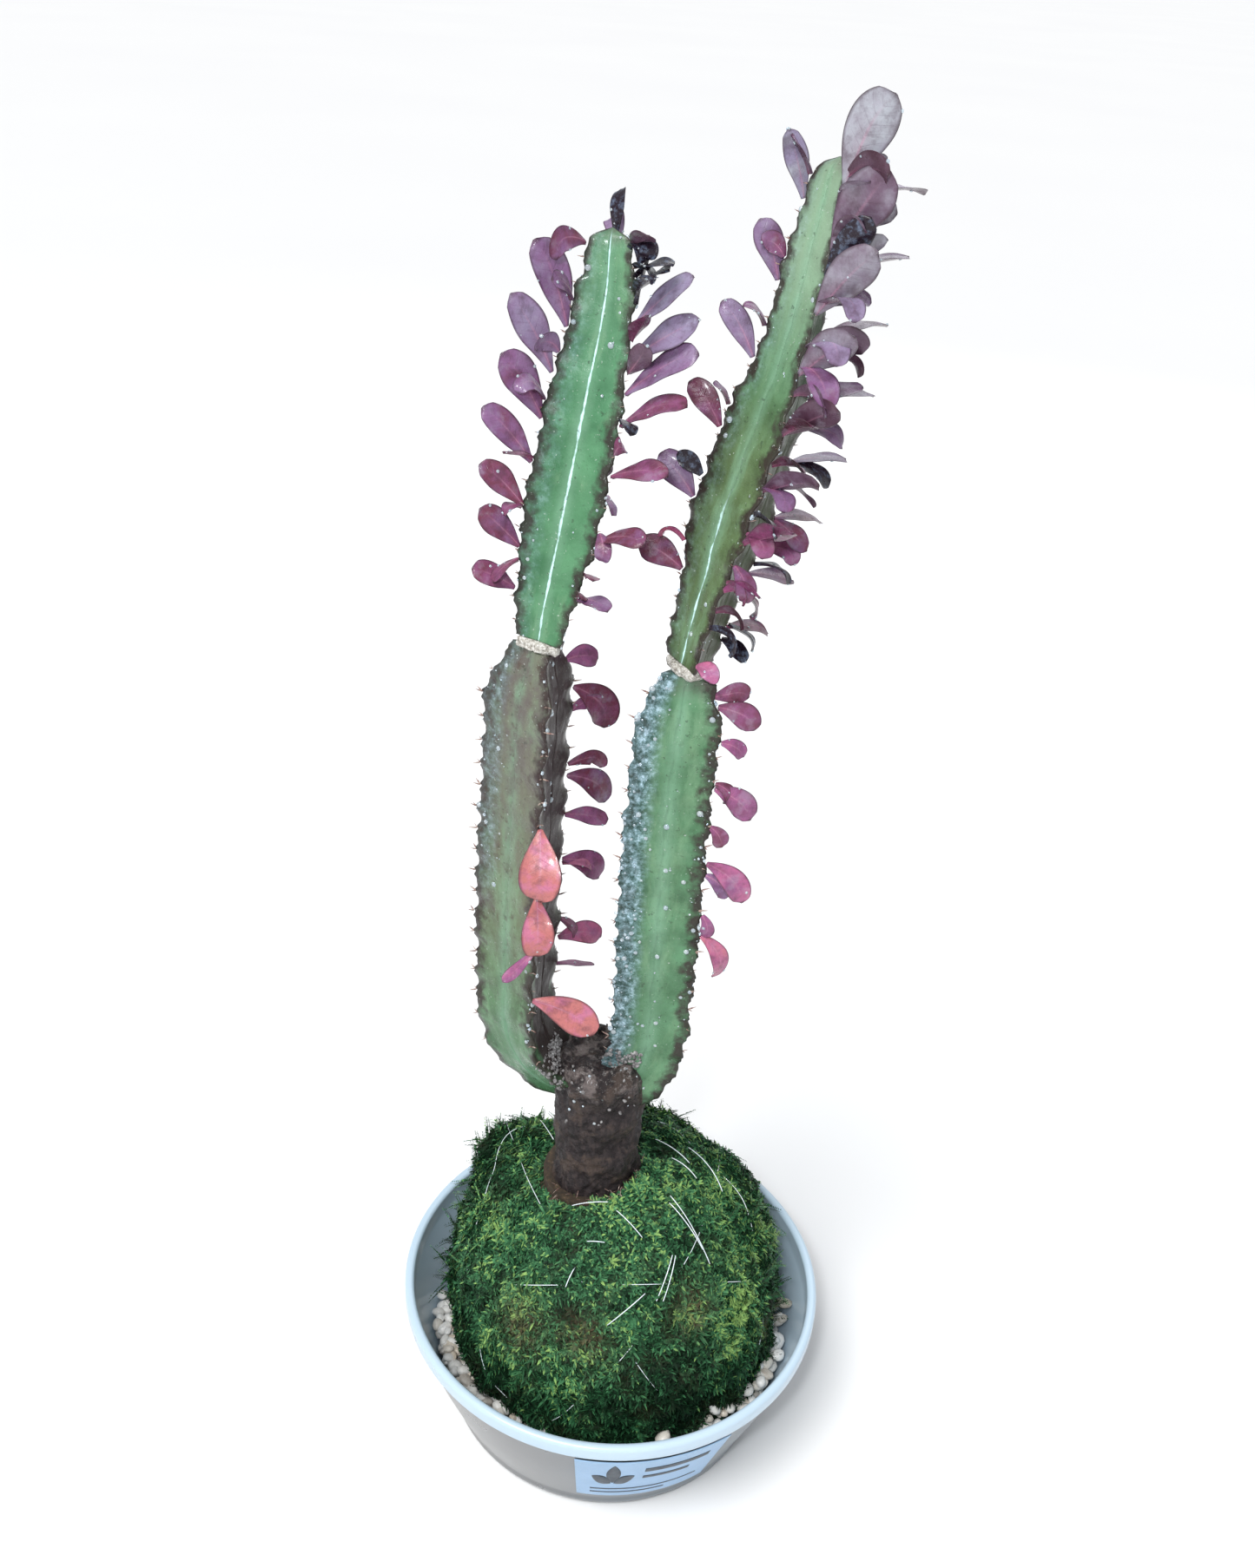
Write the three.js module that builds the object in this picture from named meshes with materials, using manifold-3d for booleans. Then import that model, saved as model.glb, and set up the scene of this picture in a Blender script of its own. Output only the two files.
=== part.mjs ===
// A kokedama: a three-ribbed euphorbia growing from a moss ball that sits on pebbles in a plastic bowl.
// Millimetres, +Z up. The origin is the middle of the bowl's underside, -Y is the front, where the label is.
import * as THREE from "three";
import { mergeVertices } from "three/addons/utils/BufferGeometryUtils.js";
import Module from "manifold-3d";

const wasm = await Module();
wasm.setup();

// ---- Driving dimensions ----------------------------------------------------------------------------

const GAP = 0.3; // clearance between pieces that touch

const BOWL = {
  rimRadius: 70,
  footRadius: 50.8,
  height: 51.5,
  wall: 1.8,
  floor: 2.2,
  footRounding: 6,
  lipHeight: 5.5,
  lipProud: 1.3,
};

const LABEL = { width: 46, height: 33, thickness: 0.3, azimuth: -74.5, belowLip: 1.5 };

const BED = { depth: 18, lump: 0.9, underBall: 10 };

const BALL = {
  bowlClearance: 12.2, // from the ball's widest place to the inside of the rim
  squash: 0.62, // the lower half's height as a share of the radius
  fullness: 0.68, // under 1 fills the lower half out, as a ball slumps on its bed
  swell: 1.4, // height of the gentle unevenness all over the moss
  mossThickness: 9,
  collar: 1.8, // ring of bare soil between the trunk and the moss
  soilBelowMoss: 3.5, // how far the bare soil lies below the moss around it
};

// Tufts that stand out of the moss ball: direction, height and width (1 is a whole side of the ball).
const TUFTS = [
  { towards: [-0.7, 0.43, 0.56], height: 11, width: 0.27 },
  { towards: [0.82, 0.35, 0.46], height: 4.5, width: 0.42 },
  { towards: [0.12, 0.7, 0.72], height: 4, width: 0.38 },
  { towards: [0.8, -0.5, -0.3], height: 3, width: 0.4 },
];

const LINE = { diameter: 0.6, turns: 5, tilts: [59, 47, 56], firstAzimuth: 25 };

const TRUNK = {
  radius: 13.4,
  offset: -8.3, // from the bowl's axis, along X
  aboveBall: 47,
  inSoil: 30,
  ribbing: 0.045, // shares of the radius
  bulge: 0.08,
  crown: 0.16,
};

const RIBS = 3;
const CORK = { thickness: 2.4, radius: 7.3 };

// Heights from the trunk's top of the points where a limb starts inside the trunk, turns and stands up.
const ELBOW = { start: -13, turn: -8, up: 6 };

// Each limb leaves the trunk's side, turns up, and has one older and one younger length of growth.
// A girth is a list of [share of that length, distance from the axis to a rib's edge].
const LIMBS = {
  left: {
    side: -1,
    spread: 25.3,
    lowerHeight: 136,
    upperHeight: 104,
    jointShift: 2.2,
    lean: [[0.33, 0.42], [0.62, 0.74], [0.85, 0.98], [1, 1]],
    tipShift: [12.5, 6],
    ribPhase: { lower: -71, joint: -48, tip: -36 },
    lowerGirth: [[0.14, 14], [0.5, 14.8], [0.91, 14.2], [1, 8.4]],
    upperGirth: [[0, 7.6], [0.14, 9.8], [0.34, 12], [0.6, 11], [0.8, 8.8], [0.95, 6.6], [1, 4.6]],
  },
  right: {
    side: 1,
    spread: 13.6,
    lowerHeight: 132,
    upperHeight: 127,
    jointShift: 2.6,
    lean: [[0.3, 0.33], [0.58, 0.68], [0.8, 0.88], [1, 1]],
    tipShift: [23.4, 3],
    ribPhase: { lower: -30, joint: -84, tip: -74 },
    lowerGirth: [[0.14, 13.2], [0.5, 13.9], [0.91, 13.4], [1, 8.4]],
    upperGirth: [
      [0, 7.4], [0.13, 9], [0.32, 12.4], [0.48, 11.6], [0.7, 7.8], [0.8, 7.8], [0.96, 5.8], [1, 3.6],
    ],
  },
};

const LEAF = { thickness: 1, stalkWidth: 1.4, cup: 0.14, unevenSize: 0.1, unevenTurn: 5 };

// Rows of leaves along one rib, each pair of values running from the lowest leaf to the highest. From and to
// are shares of the length of growth. Lift is the angle between the stalk and the stem's upward direction,
// bend is how much further the blade turns down, twist turns it about its own length and swing turns its
// outward direction away from the rib's.
const LEAF_ROWS = [
  { limb: "left", part: "upper", rib: 2, count: 7, from: 0.12, to: 0.77,
    length: [13, 20.5], width: [6.5, 10], lift: [60, 24], bend: [14, 8], twist: [45, 62], swing: [0, -10] },
  { limb: "left", part: "upper", rib: 0, count: 3, from: 0.14, to: 0.46,
    length: [13, 16], width: [6.5, 7], lift: [66, 56], bend: [26, 16], twist: [-20, -30], swing: [0, 8] },
  { limb: "left", part: "upper", rib: 0, count: 4, from: 0.58, to: 0.8,
    length: [21, 19], width: [8.5, 8], lift: [50, 34], bend: [12, 8], twist: [-34, -42], swing: [14, 24] },
  { limb: "right", part: "upper", rib: 2, count: 6, from: 0.18, to: 0.92,
    length: [14, 14], width: [7.5, 6.5], lift: [60, 18], bend: [24, 10], twist: [50, 60], swing: [4, 14] },
  { limb: "right", part: "upper", rib: 0, count: 8, from: 0.2, to: 0.96,
    length: [14, 22], width: [8, 11.5], lift: [58, 16], bend: [18, 8], twist: [22, 52], swing: [34, 34] },
  { limb: "right", part: "upper", rib: 1, count: 8, from: 0.08, to: 0.93,
    length: [16, 20], width: [6.5, 8], lift: [84, 66], bend: [16, 10], twist: [-12, 12], swing: [-6, -18] },
  { limb: "left", part: "lower", rib: 0, count: 2, from: 0.56, to: 0.7,
    length: [19, 20], width: [10, 11], lift: [128, 132], bend: [36, 34], twist: [0, 0], swing: [-6, -12] },
  { limb: "left", part: "lower", rib: 1, count: 4, from: 0.36, to: 0.9,
    length: [17, 19], width: [8, 10], lift: [78, 112], bend: [46, 50], twist: [-44, -62], swing: [-22, -30] },
  { limb: "right", part: "lower", rib: 0, count: 4, from: 0.46, to: 0.96,
    length: [18, 13], width: [7, 8], lift: [124, 92], bend: [62, 30], twist: [-36, -60], swing: [24, 34] },
  { limb: "left", part: "lower", rib: 0, count: 1, from: 0.33, to: 0.33,
    length: [23, 23], width: [11, 11], lift: [95, 95], bend: [34, 34], twist: [-60, -60], swing: [66, 66] },
];

const COLOURS = {
  bowl: 0xb9c6cf,
  label: 0xf1f3f5,
  pebbles: 0xcfc9bf,
  soil: 0x4a3524,
  moss: 0x2f5a26,
  line: 0xd5e2ea,
  bark: 0x3d2e2a,
  lowerStem: 0x4e7a45,
  upperStem: 0x4f8a4e,
  cork: 0xc9bea0,
  youngLeaf: 0x7a6f8c,
  oldLeaf: 0xc24f78,
};

// ---- Helpers ---------------------------------------------------------------------------------------

const degrees = THREE.MathUtils.degToRad;
const mix = THREE.MathUtils.lerp;

function material(colour, roughness) {
  return new THREE.MeshStandardMaterial({ color: colour, roughness, metalness: 0 });
}

// A closed geometry with shared corners and only positions, moved point by point.
function shaped(geometry, move) {
  geometry.deleteAttribute("normal");
  geometry.deleteAttribute("uv");
  const positions = geometry.getAttribute("position");
  const point = new THREE.Vector3();
  for (let i = 0; i < positions.count; i++) {
    point.fromBufferAttribute(positions, i);
    const moved = move(point);
    positions.setXYZ(i, moved.x, moved.y, moved.z);
  }
  return mergeVertices(geometry, 1e-3);
}

function solidOf(geometry) {
  const copy = geometry.clone();
  copy.deleteAttribute("normal");
  copy.deleteAttribute("uv");
  const merged = mergeVertices(copy, 1e-3);
  return new wasm.Manifold(new wasm.Mesh({
    numProp: 3,
    vertProperties: new Float32Array(merged.getAttribute("position").array),
    triVerts: new Uint32Array(merged.index.array),
  }));
}

function geometryOf(solid) {
  const { vertProperties, triVerts } = solid.getMesh();
  return new THREE.BufferGeometry()
    .setAttribute("position", new THREE.BufferAttribute(vertProperties, 3))
    .setIndex(new THREE.BufferAttribute(triVerts, 1));
}

// A smooth value through a list of [share, value] steps.
function along(steps, share) {
  const last = steps.findIndex(([at]) => at >= share);
  if (last <= 0) return steps[last < 0 ? steps.length - 1 : 0][1];
  const [fromShare, fromValue] = steps[last - 1];
  const [toShare, toValue] = steps[last];
  return mix(fromValue, toValue, THREE.MathUtils.smoothstep(share, fromShare, toShare));
}

// A repeatable number from -1 to 1 for each whole number and use.
function unevenness(index, use) {
  const wave = Math.sin(index * 12.9898 + use * 78.233) * 43758.5453;
  return 2 * (wave - Math.floor(wave)) - 1;
}

const kokedama = new THREE.Group();

function add(name, geometry, colour, roughness) {
  const mesh = new THREE.Mesh(geometry, material(colour, roughness));
  mesh.name = name;
  kokedama.add(mesh);
}

// ---- Bowl, label and pebbles -----------------------------------------------------------------------

// The bowl's outer radius at a height: a rounded foot, then a straight taper to under the lip.
function outerRadius(z) {
  const bottom = BOWL.footRounding;
  const top = BOWL.height - BOWL.lipHeight;
  const footTop = BOWL.footRadius + bottom * 0.62;
  if (z < bottom) {
    const turn = Math.acos(1 - z / bottom);
    return mix(BOWL.footRadius, footTop, Math.sin(turn));
  }
  return mix(footTop, BOWL.rimRadius - BOWL.lipProud, Math.min(1, (z - bottom) / (top - bottom)));
}

function innerRadius(z) {
  return outerRadius(z) - BOWL.wall;
}

const ROUND_SIDES = 44;

function bowlGeometry() {
  const wallHeights = [1.4, 3.4, BOWL.footRounding];
  const lipFoot = BOWL.height - BOWL.lipHeight;
  const rimInside = innerRadius(lipFoot);
  const points = [new THREE.Vector2(0, 0), new THREE.Vector2(BOWL.footRadius, 0)];
  wallHeights.forEach((z) => points.push(new THREE.Vector2(outerRadius(z), z)));
  points.push(
    new THREE.Vector2(outerRadius(lipFoot), lipFoot),
    new THREE.Vector2(BOWL.rimRadius, lipFoot + 0.8),
    new THREE.Vector2(BOWL.rimRadius, BOWL.height - 1),
    new THREE.Vector2(BOWL.rimRadius - 1, BOWL.height),
    new THREE.Vector2(rimInside + 0.6, BOWL.height),
    new THREE.Vector2(rimInside, BOWL.height - 0.8),
    new THREE.Vector2(rimInside, lipFoot),
    new THREE.Vector2(innerRadius(BOWL.footRounding + BOWL.floor), BOWL.footRounding + BOWL.floor),
    new THREE.Vector2(innerRadius(BOWL.footRounding) - 1.5, BOWL.floor + 1.2),
    new THREE.Vector2(BOWL.footRadius - BOWL.wall - 1.5, BOWL.floor),
    new THREE.Vector2(0, BOWL.floor),
  );
  return new THREE.LatheGeometry(points, ROUND_SIDES).rotateX(Math.PI / 2);
}

// The label is the part of a thin ring around the bowl's straight wall that a wedge cuts out.
function labelGeometry() {
  const top = BOWL.height - BOWL.lipHeight - LABEL.belowLip;
  const bottom = top - LABEL.height;
  const inside = (z) => outerRadius(z) + GAP;
  const ring = new THREE.LatheGeometry([
    new THREE.Vector2(inside(bottom), bottom),
    new THREE.Vector2(inside(bottom) + LABEL.thickness, bottom),
    new THREE.Vector2(inside(top) + LABEL.thickness, top),
    new THREE.Vector2(inside(top), top),
    new THREE.Vector2(inside(bottom), bottom),
  ], ROUND_SIDES).rotateX(Math.PI / 2);
  const half = LABEL.width / 2 / outerRadius((top + bottom) / 2);
  const middle = degrees(LABEL.azimuth);
  const reach = BOWL.rimRadius * 1.3;
  const wedge = new THREE.Shape([
    new THREE.Vector2(0, 0),
    new THREE.Vector2(Math.cos(middle - half), Math.sin(middle - half)).multiplyScalar(reach),
    new THREE.Vector2(Math.cos(middle + half), Math.sin(middle + half)).multiplyScalar(reach),
  ]);
  const prism = new THREE.ExtrudeGeometry(wedge, { depth: BOWL.height, bevelEnabled: false });
  return geometryOf(solidOf(ring).intersect(solidOf(prism)));
}

// ---- Moss ball, soil and nylon line ----------------------------------------------------------------

const ball = {
  radius: innerRadius(BOWL.height - BOWL.lipHeight) - BALL.bowlClearance,
};
ball.centre = new THREE.Vector3(0, 0, BOWL.floor + BED.underBall + ball.radius * BALL.squash);
ball.top = ball.centre.z + ball.radius;

// How far a slumped ball of a radius reaches from the ball's centre in a direction.
function slumped(direction, radius, floorAway) {
  const level = Math.hypot(direction.x, direction.y);
  if (direction.z >= 0) return radius;
  const depth = ball.radius * BALL.squash - floorAway;
  const power = 2 / BALL.fullness;
  const sum = (level / radius) ** power + (-direction.z / depth) ** power;
  return sum ** (-1 / power);
}

// How far the moss reaches: the slumped ball, its tufts and a gentle unevenness.
function mossReach(direction) {
  const tufts = TUFTS.reduce((sum, tuft) => {
    const away = direction.distanceTo(new THREE.Vector3(...tuft.towards).normalize()) / tuft.width;
    return sum + tuft.height * Math.exp(-away * away);
  }, 0);
  const { x, y, z } = direction;
  const swell = BALL.swell * Math.sin(5 * x + 1) * Math.sin(6 * y) * Math.cos(4 * z);
  const underneath = THREE.MathUtils.smoothstep(z, -0.75, 0.25);
  return slumped(direction, ball.radius, 0) + tufts + swell * underneath;
}

function soilReach(direction) {
  return slumped(direction, ball.radius - BALL.mossThickness, BALL.mossThickness * 0.6);
}

function ballGeometry(reach, extra, around, down) {
  return shaped(new THREE.SphereGeometry(1, around, down).rotateX(Math.PI / 2), (point) => {
    const direction = point.clone().normalize();
    return direction.clone().multiplyScalar(reach(direction) + extra).add(ball.centre);
  });
}

const trunk = {
  foot: ball.top - TRUNK.inSoil,
  top: ball.top + TRUNK.aboveBall,
};

// The trunk's outline: a rounded triangle that keeps a little of the three ribs, with a worn crown.
function trunkRadius(angle, share) {
  const ribs = 1 + TRUNK.ribbing * Math.cos(RIBS * angle + 0.7);
  const bulge = 1 + TRUNK.bulge * (0.6 * Math.sin(share * 9) + 0.4 * Math.sin(share * 17 + angle));
  const crown = 1 - TRUNK.crown * THREE.MathUtils.smoothstep(share, 0.93, 1);
  return TRUNK.radius * ribs * bulge * crown;
}

function trunkSolidGeometry(extra) {
  const cylinder = new THREE.CylinderGeometry(1, 1, 1, 16, 8).rotateX(Math.PI / 2);
  return shaped(cylinder, (point) => {
    const share = point.z + 0.5;
    const angle = Math.atan2(point.y, point.x);
    const radius = Math.hypot(point.x, point.y) * (trunkRadius(angle, share) + extra);
    const ends = share < 0.5 ? -extra : extra;
    return new THREE.Vector3(
      TRUNK.offset + radius * Math.cos(angle),
      radius * Math.sin(angle),
      mix(trunk.foot, trunk.top, share) + (share === 0 || share === 1 ? ends : 0),
    );
  });
}

// A round post on the trunk's axis, as a cutter.
function trunkPost(radius, bottom, top) {
  const post = new THREE.CylinderGeometry(radius, radius, top - bottom, 24).rotateX(Math.PI / 2);
  return solidOf(post.translate(TRUNK.offset, 0, (top + bottom) / 2));
}

const widestTrunk = TRUNK.radius * (1 + TRUNK.ribbing) * (1 + TRUNK.bulge);
const collarRadius = widestTrunk + BALL.collar;
const beyond = ball.radius * 3;

function mossGeometry() {
  const outside = solidOf(ballGeometry(mossReach, 0, 36, 22));
  const room = solidOf(ballGeometry(soilReach, GAP, 20, 12));
  const neck = trunkPost(collarRadius, ball.centre.z, beyond);
  return geometryOf(outside.subtract(room).subtract(neck));
}

// The soil fills the moss, with a low neck inside the collar and a socket for the trunk.
function soilGeometry() {
  const core = solidOf(ballGeometry(soilReach, 0, 20, 12));
  const neck = trunkPost(collarRadius - GAP, ball.centre.z, ball.top - BALL.soilBelowMoss);
  return geometryOf(core.add(neck).subtract(solidOf(trunkSolidGeometry(GAP))));
}

// One turn of the line lies on the moss in a tilted plane through the ball's centre.
function lineTurn(index) {
  const tilt = degrees(LINE.tilts[index % LINE.tilts.length]);
  const azimuth = degrees(LINE.firstAzimuth + (360 / LINE.turns) * index);
  const axis = new THREE.Vector3(
    Math.sin(tilt) * Math.cos(azimuth), Math.sin(tilt) * Math.sin(azimuth), Math.cos(tilt));
  const first = new THREE.Vector3(0, 0, 1).cross(axis).normalize();
  const second = axis.clone().cross(first);
  const radius = LINE.diameter / 2;
  return shaped(new THREE.TorusGeometry(10, radius, 3, 40), (point) => {
    const turn = Math.atan2(point.y, point.x);
    const outward = Math.hypot(point.x, point.y) - 10;
    const direction = first.clone().multiplyScalar(Math.cos(turn)).addScaledVector(second, Math.sin(turn));
    const reach = mossReach(direction) + GAP + LINE.diameter + outward;
    return ball.centre.clone().addScaledVector(direction, reach).addScaledVector(axis, point.z);
  });
}

function lineGeometry() {
  const turns = Array.from({ length: LINE.turns }, (_, index) => solidOf(lineTurn(index)));
  return geometryOf(turns.reduce((joined, turn) => joined.add(turn)));
}

// The pebbles as one lumpy layer that fills the bowl's bottom and dips under the ball and its line.
function pebbleBedGeometry() {
  const top = BOWL.floor + BED.depth;
  const corner = BOWL.floor + 2.5;
  const bottomRadius = BOWL.footRadius - BOWL.wall - 2.5;
  const rings = 6;
  const points = [new THREE.Vector2(0, BOWL.floor + GAP), new THREE.Vector2(bottomRadius, BOWL.floor + GAP)];
  points.push(new THREE.Vector2(innerRadius(corner) - 2.2, corner + 1));
  for (let ring = 0; ring <= rings; ring++) {
    const inward = 1 - ring / rings;
    points.push(new THREE.Vector2((innerRadius(top) - 1.2) * inward, top));
  }
  const lumps = (point) => {
    const isTop = point.y > top - 0.01;
    const wave = Math.sin(point.x * 0.72) * Math.cos(point.z * 0.66) + 0.5 * Math.sin(point.x - point.z);
    return new THREE.Vector3(point.x, point.y + (isTop ? BED.lump * wave : 0), point.z);
  };
  const layer = shaped(new THREE.LatheGeometry(points, 36), lumps).rotateX(Math.PI / 2);
  const clear = ballGeometry(mossReach, 3 * GAP + LINE.diameter * 1.5, 36, 22);
  return geometryOf(solidOf(layer).subtract(solidOf(clear)));
}

// ---- Stems -----------------------------------------------------------------------------------------

// A limb's centre line, from inside the trunk to the tip.
function limbCurve(limb) {
  const stemX = TRUNK.offset + limb.side * limb.spread;
  const jointZ = trunk.top + limb.lowerHeight;
  const at = (share, x, y, z) => new THREE.Vector3(mix(TRUNK.offset, stemX, share) + x, y, z);
  const points = [
    at(0.1, 0, 0, trunk.top + ELBOW.start),
    at(0.62, 0, 0, trunk.top + ELBOW.turn),
    at(0.97, 0, 0, trunk.top + ELBOW.up),
    at(1.02, 0, 0, mix(trunk.top, jointZ, 0.24)),
    at(1, 0, 0, mix(trunk.top, jointZ, 0.66)),
    at(1, limb.jointShift * 0.42, 0, mix(trunk.top, jointZ, 0.89)),
    at(1, limb.jointShift, 0, jointZ),
  ];
  const [tipX, tipY] = limb.tipShift;
  limb.lean.forEach(([height, shift]) => {
    points.push(at(1, limb.jointShift + tipX * shift, tipY * shift, jointZ + limb.upperHeight * height));
  });
  return new THREE.CatmullRomCurve3(points);
}

// The share of the curve's length at a height, by halving.
function shareAtHeight(curve, z) {
  let [low, high] = [0, 1];
  for (let i = 0; i < 24; i++) {
    const middle = (low + high) / 2;
    if (curve.getPointAt(middle).z < z) low = middle;
    else high = middle;
  }
  return low;
}

// A rib's edge is at 1 and the middle of a slightly hollow face at 0.46.
function ribbed(angle) {
  const face = (2 * Math.PI) / RIBS;
  const fromFace = (((angle % face) + face) % face) - face / 2;
  return (0.5 / Math.cos(fromFace)) * (1 - 0.08 * Math.cos(1.5 * fromFace));
}

// The stem's place and directions at a share of the limb: tangent, side (towards +X) and front (towards -Y).
function stemFrame(curve, share) {
  const tangent = curve.getTangentAt(share);
  const front = new THREE.Vector3(0, -1, 0).addScaledVector(tangent, tangent.y).normalize();
  const side = tangent.clone().cross(front);
  return { centre: curve.getPointAt(share), tangent, front, side };
}

function outward(frame, angle) {
  return frame.side.clone().multiplyScalar(Math.cos(angle)).addScaledVector(frame.front, -Math.sin(angle));
}

// Everything that its stems, cork and leaves take from one limb.
function limbPlan(limb) {
  const curve = limbCurve(limb);
  const length = curve.getLength();
  const joint = shareAtHeight(curve, trunk.top + limb.lowerHeight);
  const halfCork = CORK.thickness / 2 / length;
  const clear = GAP / length;
  const insideTrunk = TRUNK.radius * 0.84;
  const parts = {
    lower: { from: 0, to: joint - halfCork - clear, girth: [[0, insideTrunk], ...limb.lowerGirth] },
    upper: { from: joint + halfCork + clear, to: 1, girth: limb.upperGirth },
  };
  const phase = (name, share) => degrees(name === "lower"
    ? limb.ribPhase.lower
    : mix(limb.ribPhase.joint, limb.ribPhase.tip, share));
  return { curve, parts, phase, cork: { from: joint - halfCork, to: joint + halfCork } };
}

// A cylinder carried along a stretch of the limb, with its radius by angle and share of the stretch.
function carried(curve, stretch, sides, steps, radiusAt) {
  return shaped(new THREE.CylinderGeometry(1, 1, 1, sides, steps), (point) => {
    const share = point.y + 0.5;
    const angle = Math.atan2(point.x, point.z);
    const frame = stemFrame(curve, mix(stretch.from, stretch.to, share));
    const radius = Math.hypot(point.x, point.z) * radiusAt(angle, share);
    return frame.centre.addScaledVector(outward(frame, angle), radius);
  });
}

const STEM_SIDES = 12;
const STEM_STEPS = 16;

function stemGeometry(plan, name) {
  const part = plan.parts[name];
  const radiusAt = (angle, share) => along(part.girth, share) * ribbed(angle - plan.phase(name, share));
  return carried(plan.curve, part, STEM_SIDES, STEM_STEPS, radiusAt);
}

function corkGeometry(plan) {
  const radiusAt = (angle) => CORK.radius * mix(ribbed(angle - plan.phase("upper", 0)), 0.85, 0.45);
  return carried(plan.curve, plan.cork, STEM_SIDES, 2, radiusAt);
}

// ---- Leaves ----------------------------------------------------------------------------------------

// Half the blade's width at a share of its length: a narrow stalk, widest near the end, a blunt tip.
function halfWidth(share, width) {
  const blade = Math.sin(Math.PI * Math.min(1, share ** 1.35) * 0.93) ** 0.8;
  return mix(LEAF.stalkWidth, width, blade) / 2;
}

// A leaf from a base point. It starts along up and out at the lift and turns further out by the bend.
function leafGeometry({ base, up, out, length, width, lift, bend, twist }) {
  const across = out.clone().cross(up).normalize();
  const radius = length / bend;
  return shaped(new THREE.BoxGeometry(1, 1, 1, 2, 5, 1), (point) => {
    const share = point.y + 0.5;
    const turned = lift + bend * share;
    const middle = base.clone()
      .addScaledVector(up, radius * (Math.sin(turned) - Math.sin(lift)))
      .addScaledVector(out, radius * (Math.cos(lift) - Math.cos(turned)));
    const lengthwise = up.clone().multiplyScalar(Math.cos(turned)).addScaledVector(out, Math.sin(turned));
    const wide = across.clone().applyAxisAngle(lengthwise, -twist);
    const face = wide.clone().cross(lengthwise);
    const half = halfWidth(share, width);
    const cup = LEAF.cup * half * (4 * point.x * point.x);
    return middle
      .addScaledVector(wide, 2 * point.x * half)
      .addScaledVector(face, point.z * LEAF.thickness + cup);
  });
}

// One leaf of a row: each value is its share of the row's range with a little unevenness.
function rowLeaf(plan, row, index) {
  const share = index / Math.max(1, row.count - 1);
  const place = mix(row.from, row.to, share);
  const part = plan.parts[row.part];
  const frame = stemFrame(plan.curve, mix(part.from, part.to, place));
  const angle = plan.phase(row.part, place) + (2 * Math.PI * row.rib) / RIBS;
  const uneven = (use) => unevenness(index, row.rib + use);
  const sized = (range, use) => mix(...range, share) * (1 + LEAF.unevenSize * uneven(use));
  const turned = (range, use) => degrees(mix(...range, share) + LEAF.unevenTurn * uneven(use));
  const clear = along(part.girth, place) + GAP + LEAF.thickness;
  return leafGeometry({
    base: frame.centre.addScaledVector(outward(frame, angle), clear),
    up: frame.tangent,
    out: outward(frame, angle + turned(row.swing, 13)),
    length: sized(row.length, 1),
    width: sized(row.width, 4),
    lift: turned(row.lift, 7),
    bend: turned(row.bend, 9),
    twist: turned(row.twist, 11),
  });
}

// ---- The model -------------------------------------------------------------------------------------

add("bowl", bowlGeometry(), COLOURS.bowl, 0.35);
add("label", labelGeometry(), COLOURS.label, 0.6);
add("pebble_bed", pebbleBedGeometry(), COLOURS.pebbles, 0.7);
add("soil_ball", soilGeometry(), COLOURS.soil, 0.95);
add("moss_wrap", mossGeometry(), COLOURS.moss, 0.95);
add("nylon_line", lineGeometry(), COLOURS.line, 0.15);
add("trunk", trunkSolidGeometry(0), COLOURS.bark, 0.85);

const plans = Object.fromEntries(Object.entries(LIMBS).map(([name, limb]) => [name, limbPlan(limb)]));
const trunkCutter = solidOf(trunkSolidGeometry(GAP));
Object.entries(plans).forEach(([name, plan]) => {
  const lower = solidOf(stemGeometry(plan, "lower")).subtract(trunkCutter);
  add(`${name}_lower_stem`, geometryOf(lower), COLOURS.lowerStem, 0.5);
  add(`${name}_joint_cork`, corkGeometry(plan), COLOURS.cork, 0.9);
  add(`${name}_upper_stem`, stemGeometry(plan, "upper"), COLOURS.upperStem, 0.4);
});

const RIB_NAMES = ["front", "back", "left"];
const leafCounts = {};
LEAF_ROWS.forEach((row) => {
  for (let index = 0; index < row.count; index++) {
    const ribName = `leaf_${row.limb}_${row.part}_${RIB_NAMES[row.rib]}`;
    leafCounts[ribName] = (leafCounts[ribName] ?? 0) + 1;
    const name = `${ribName}_${leafCounts[ribName]}`;
    const colour = row.part === "lower" ? COLOURS.oldLeaf : COLOURS.youngLeaf;
    add(name, rowLeaf(plans[row.limb], row, index), colour, 0.45);
  }
});

export default kokedama;
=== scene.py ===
"""A kokedama: a three-ribbed euphorbia in a line-bound moss ball, on pebbles in a pale plastic bowl."""

import math

import bpy
import numpy as np
from mathutils import Matrix, Vector


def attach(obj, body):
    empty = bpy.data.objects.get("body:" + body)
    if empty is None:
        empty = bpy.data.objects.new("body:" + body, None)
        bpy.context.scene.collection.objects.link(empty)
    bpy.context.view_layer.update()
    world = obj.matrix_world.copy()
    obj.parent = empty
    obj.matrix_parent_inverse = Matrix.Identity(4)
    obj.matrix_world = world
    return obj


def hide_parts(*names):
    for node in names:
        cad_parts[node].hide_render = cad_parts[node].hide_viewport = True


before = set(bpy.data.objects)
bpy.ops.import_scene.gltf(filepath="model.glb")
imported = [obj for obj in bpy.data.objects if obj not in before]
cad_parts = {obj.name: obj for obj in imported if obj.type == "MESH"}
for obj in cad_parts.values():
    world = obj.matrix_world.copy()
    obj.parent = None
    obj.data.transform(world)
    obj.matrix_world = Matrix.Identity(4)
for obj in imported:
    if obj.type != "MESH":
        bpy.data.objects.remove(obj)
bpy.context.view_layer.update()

MM = 0.001
TURN = 2 * math.pi

# ---- Sizes in millimetres, the same as the solids' ----------------------------------------------------

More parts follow.
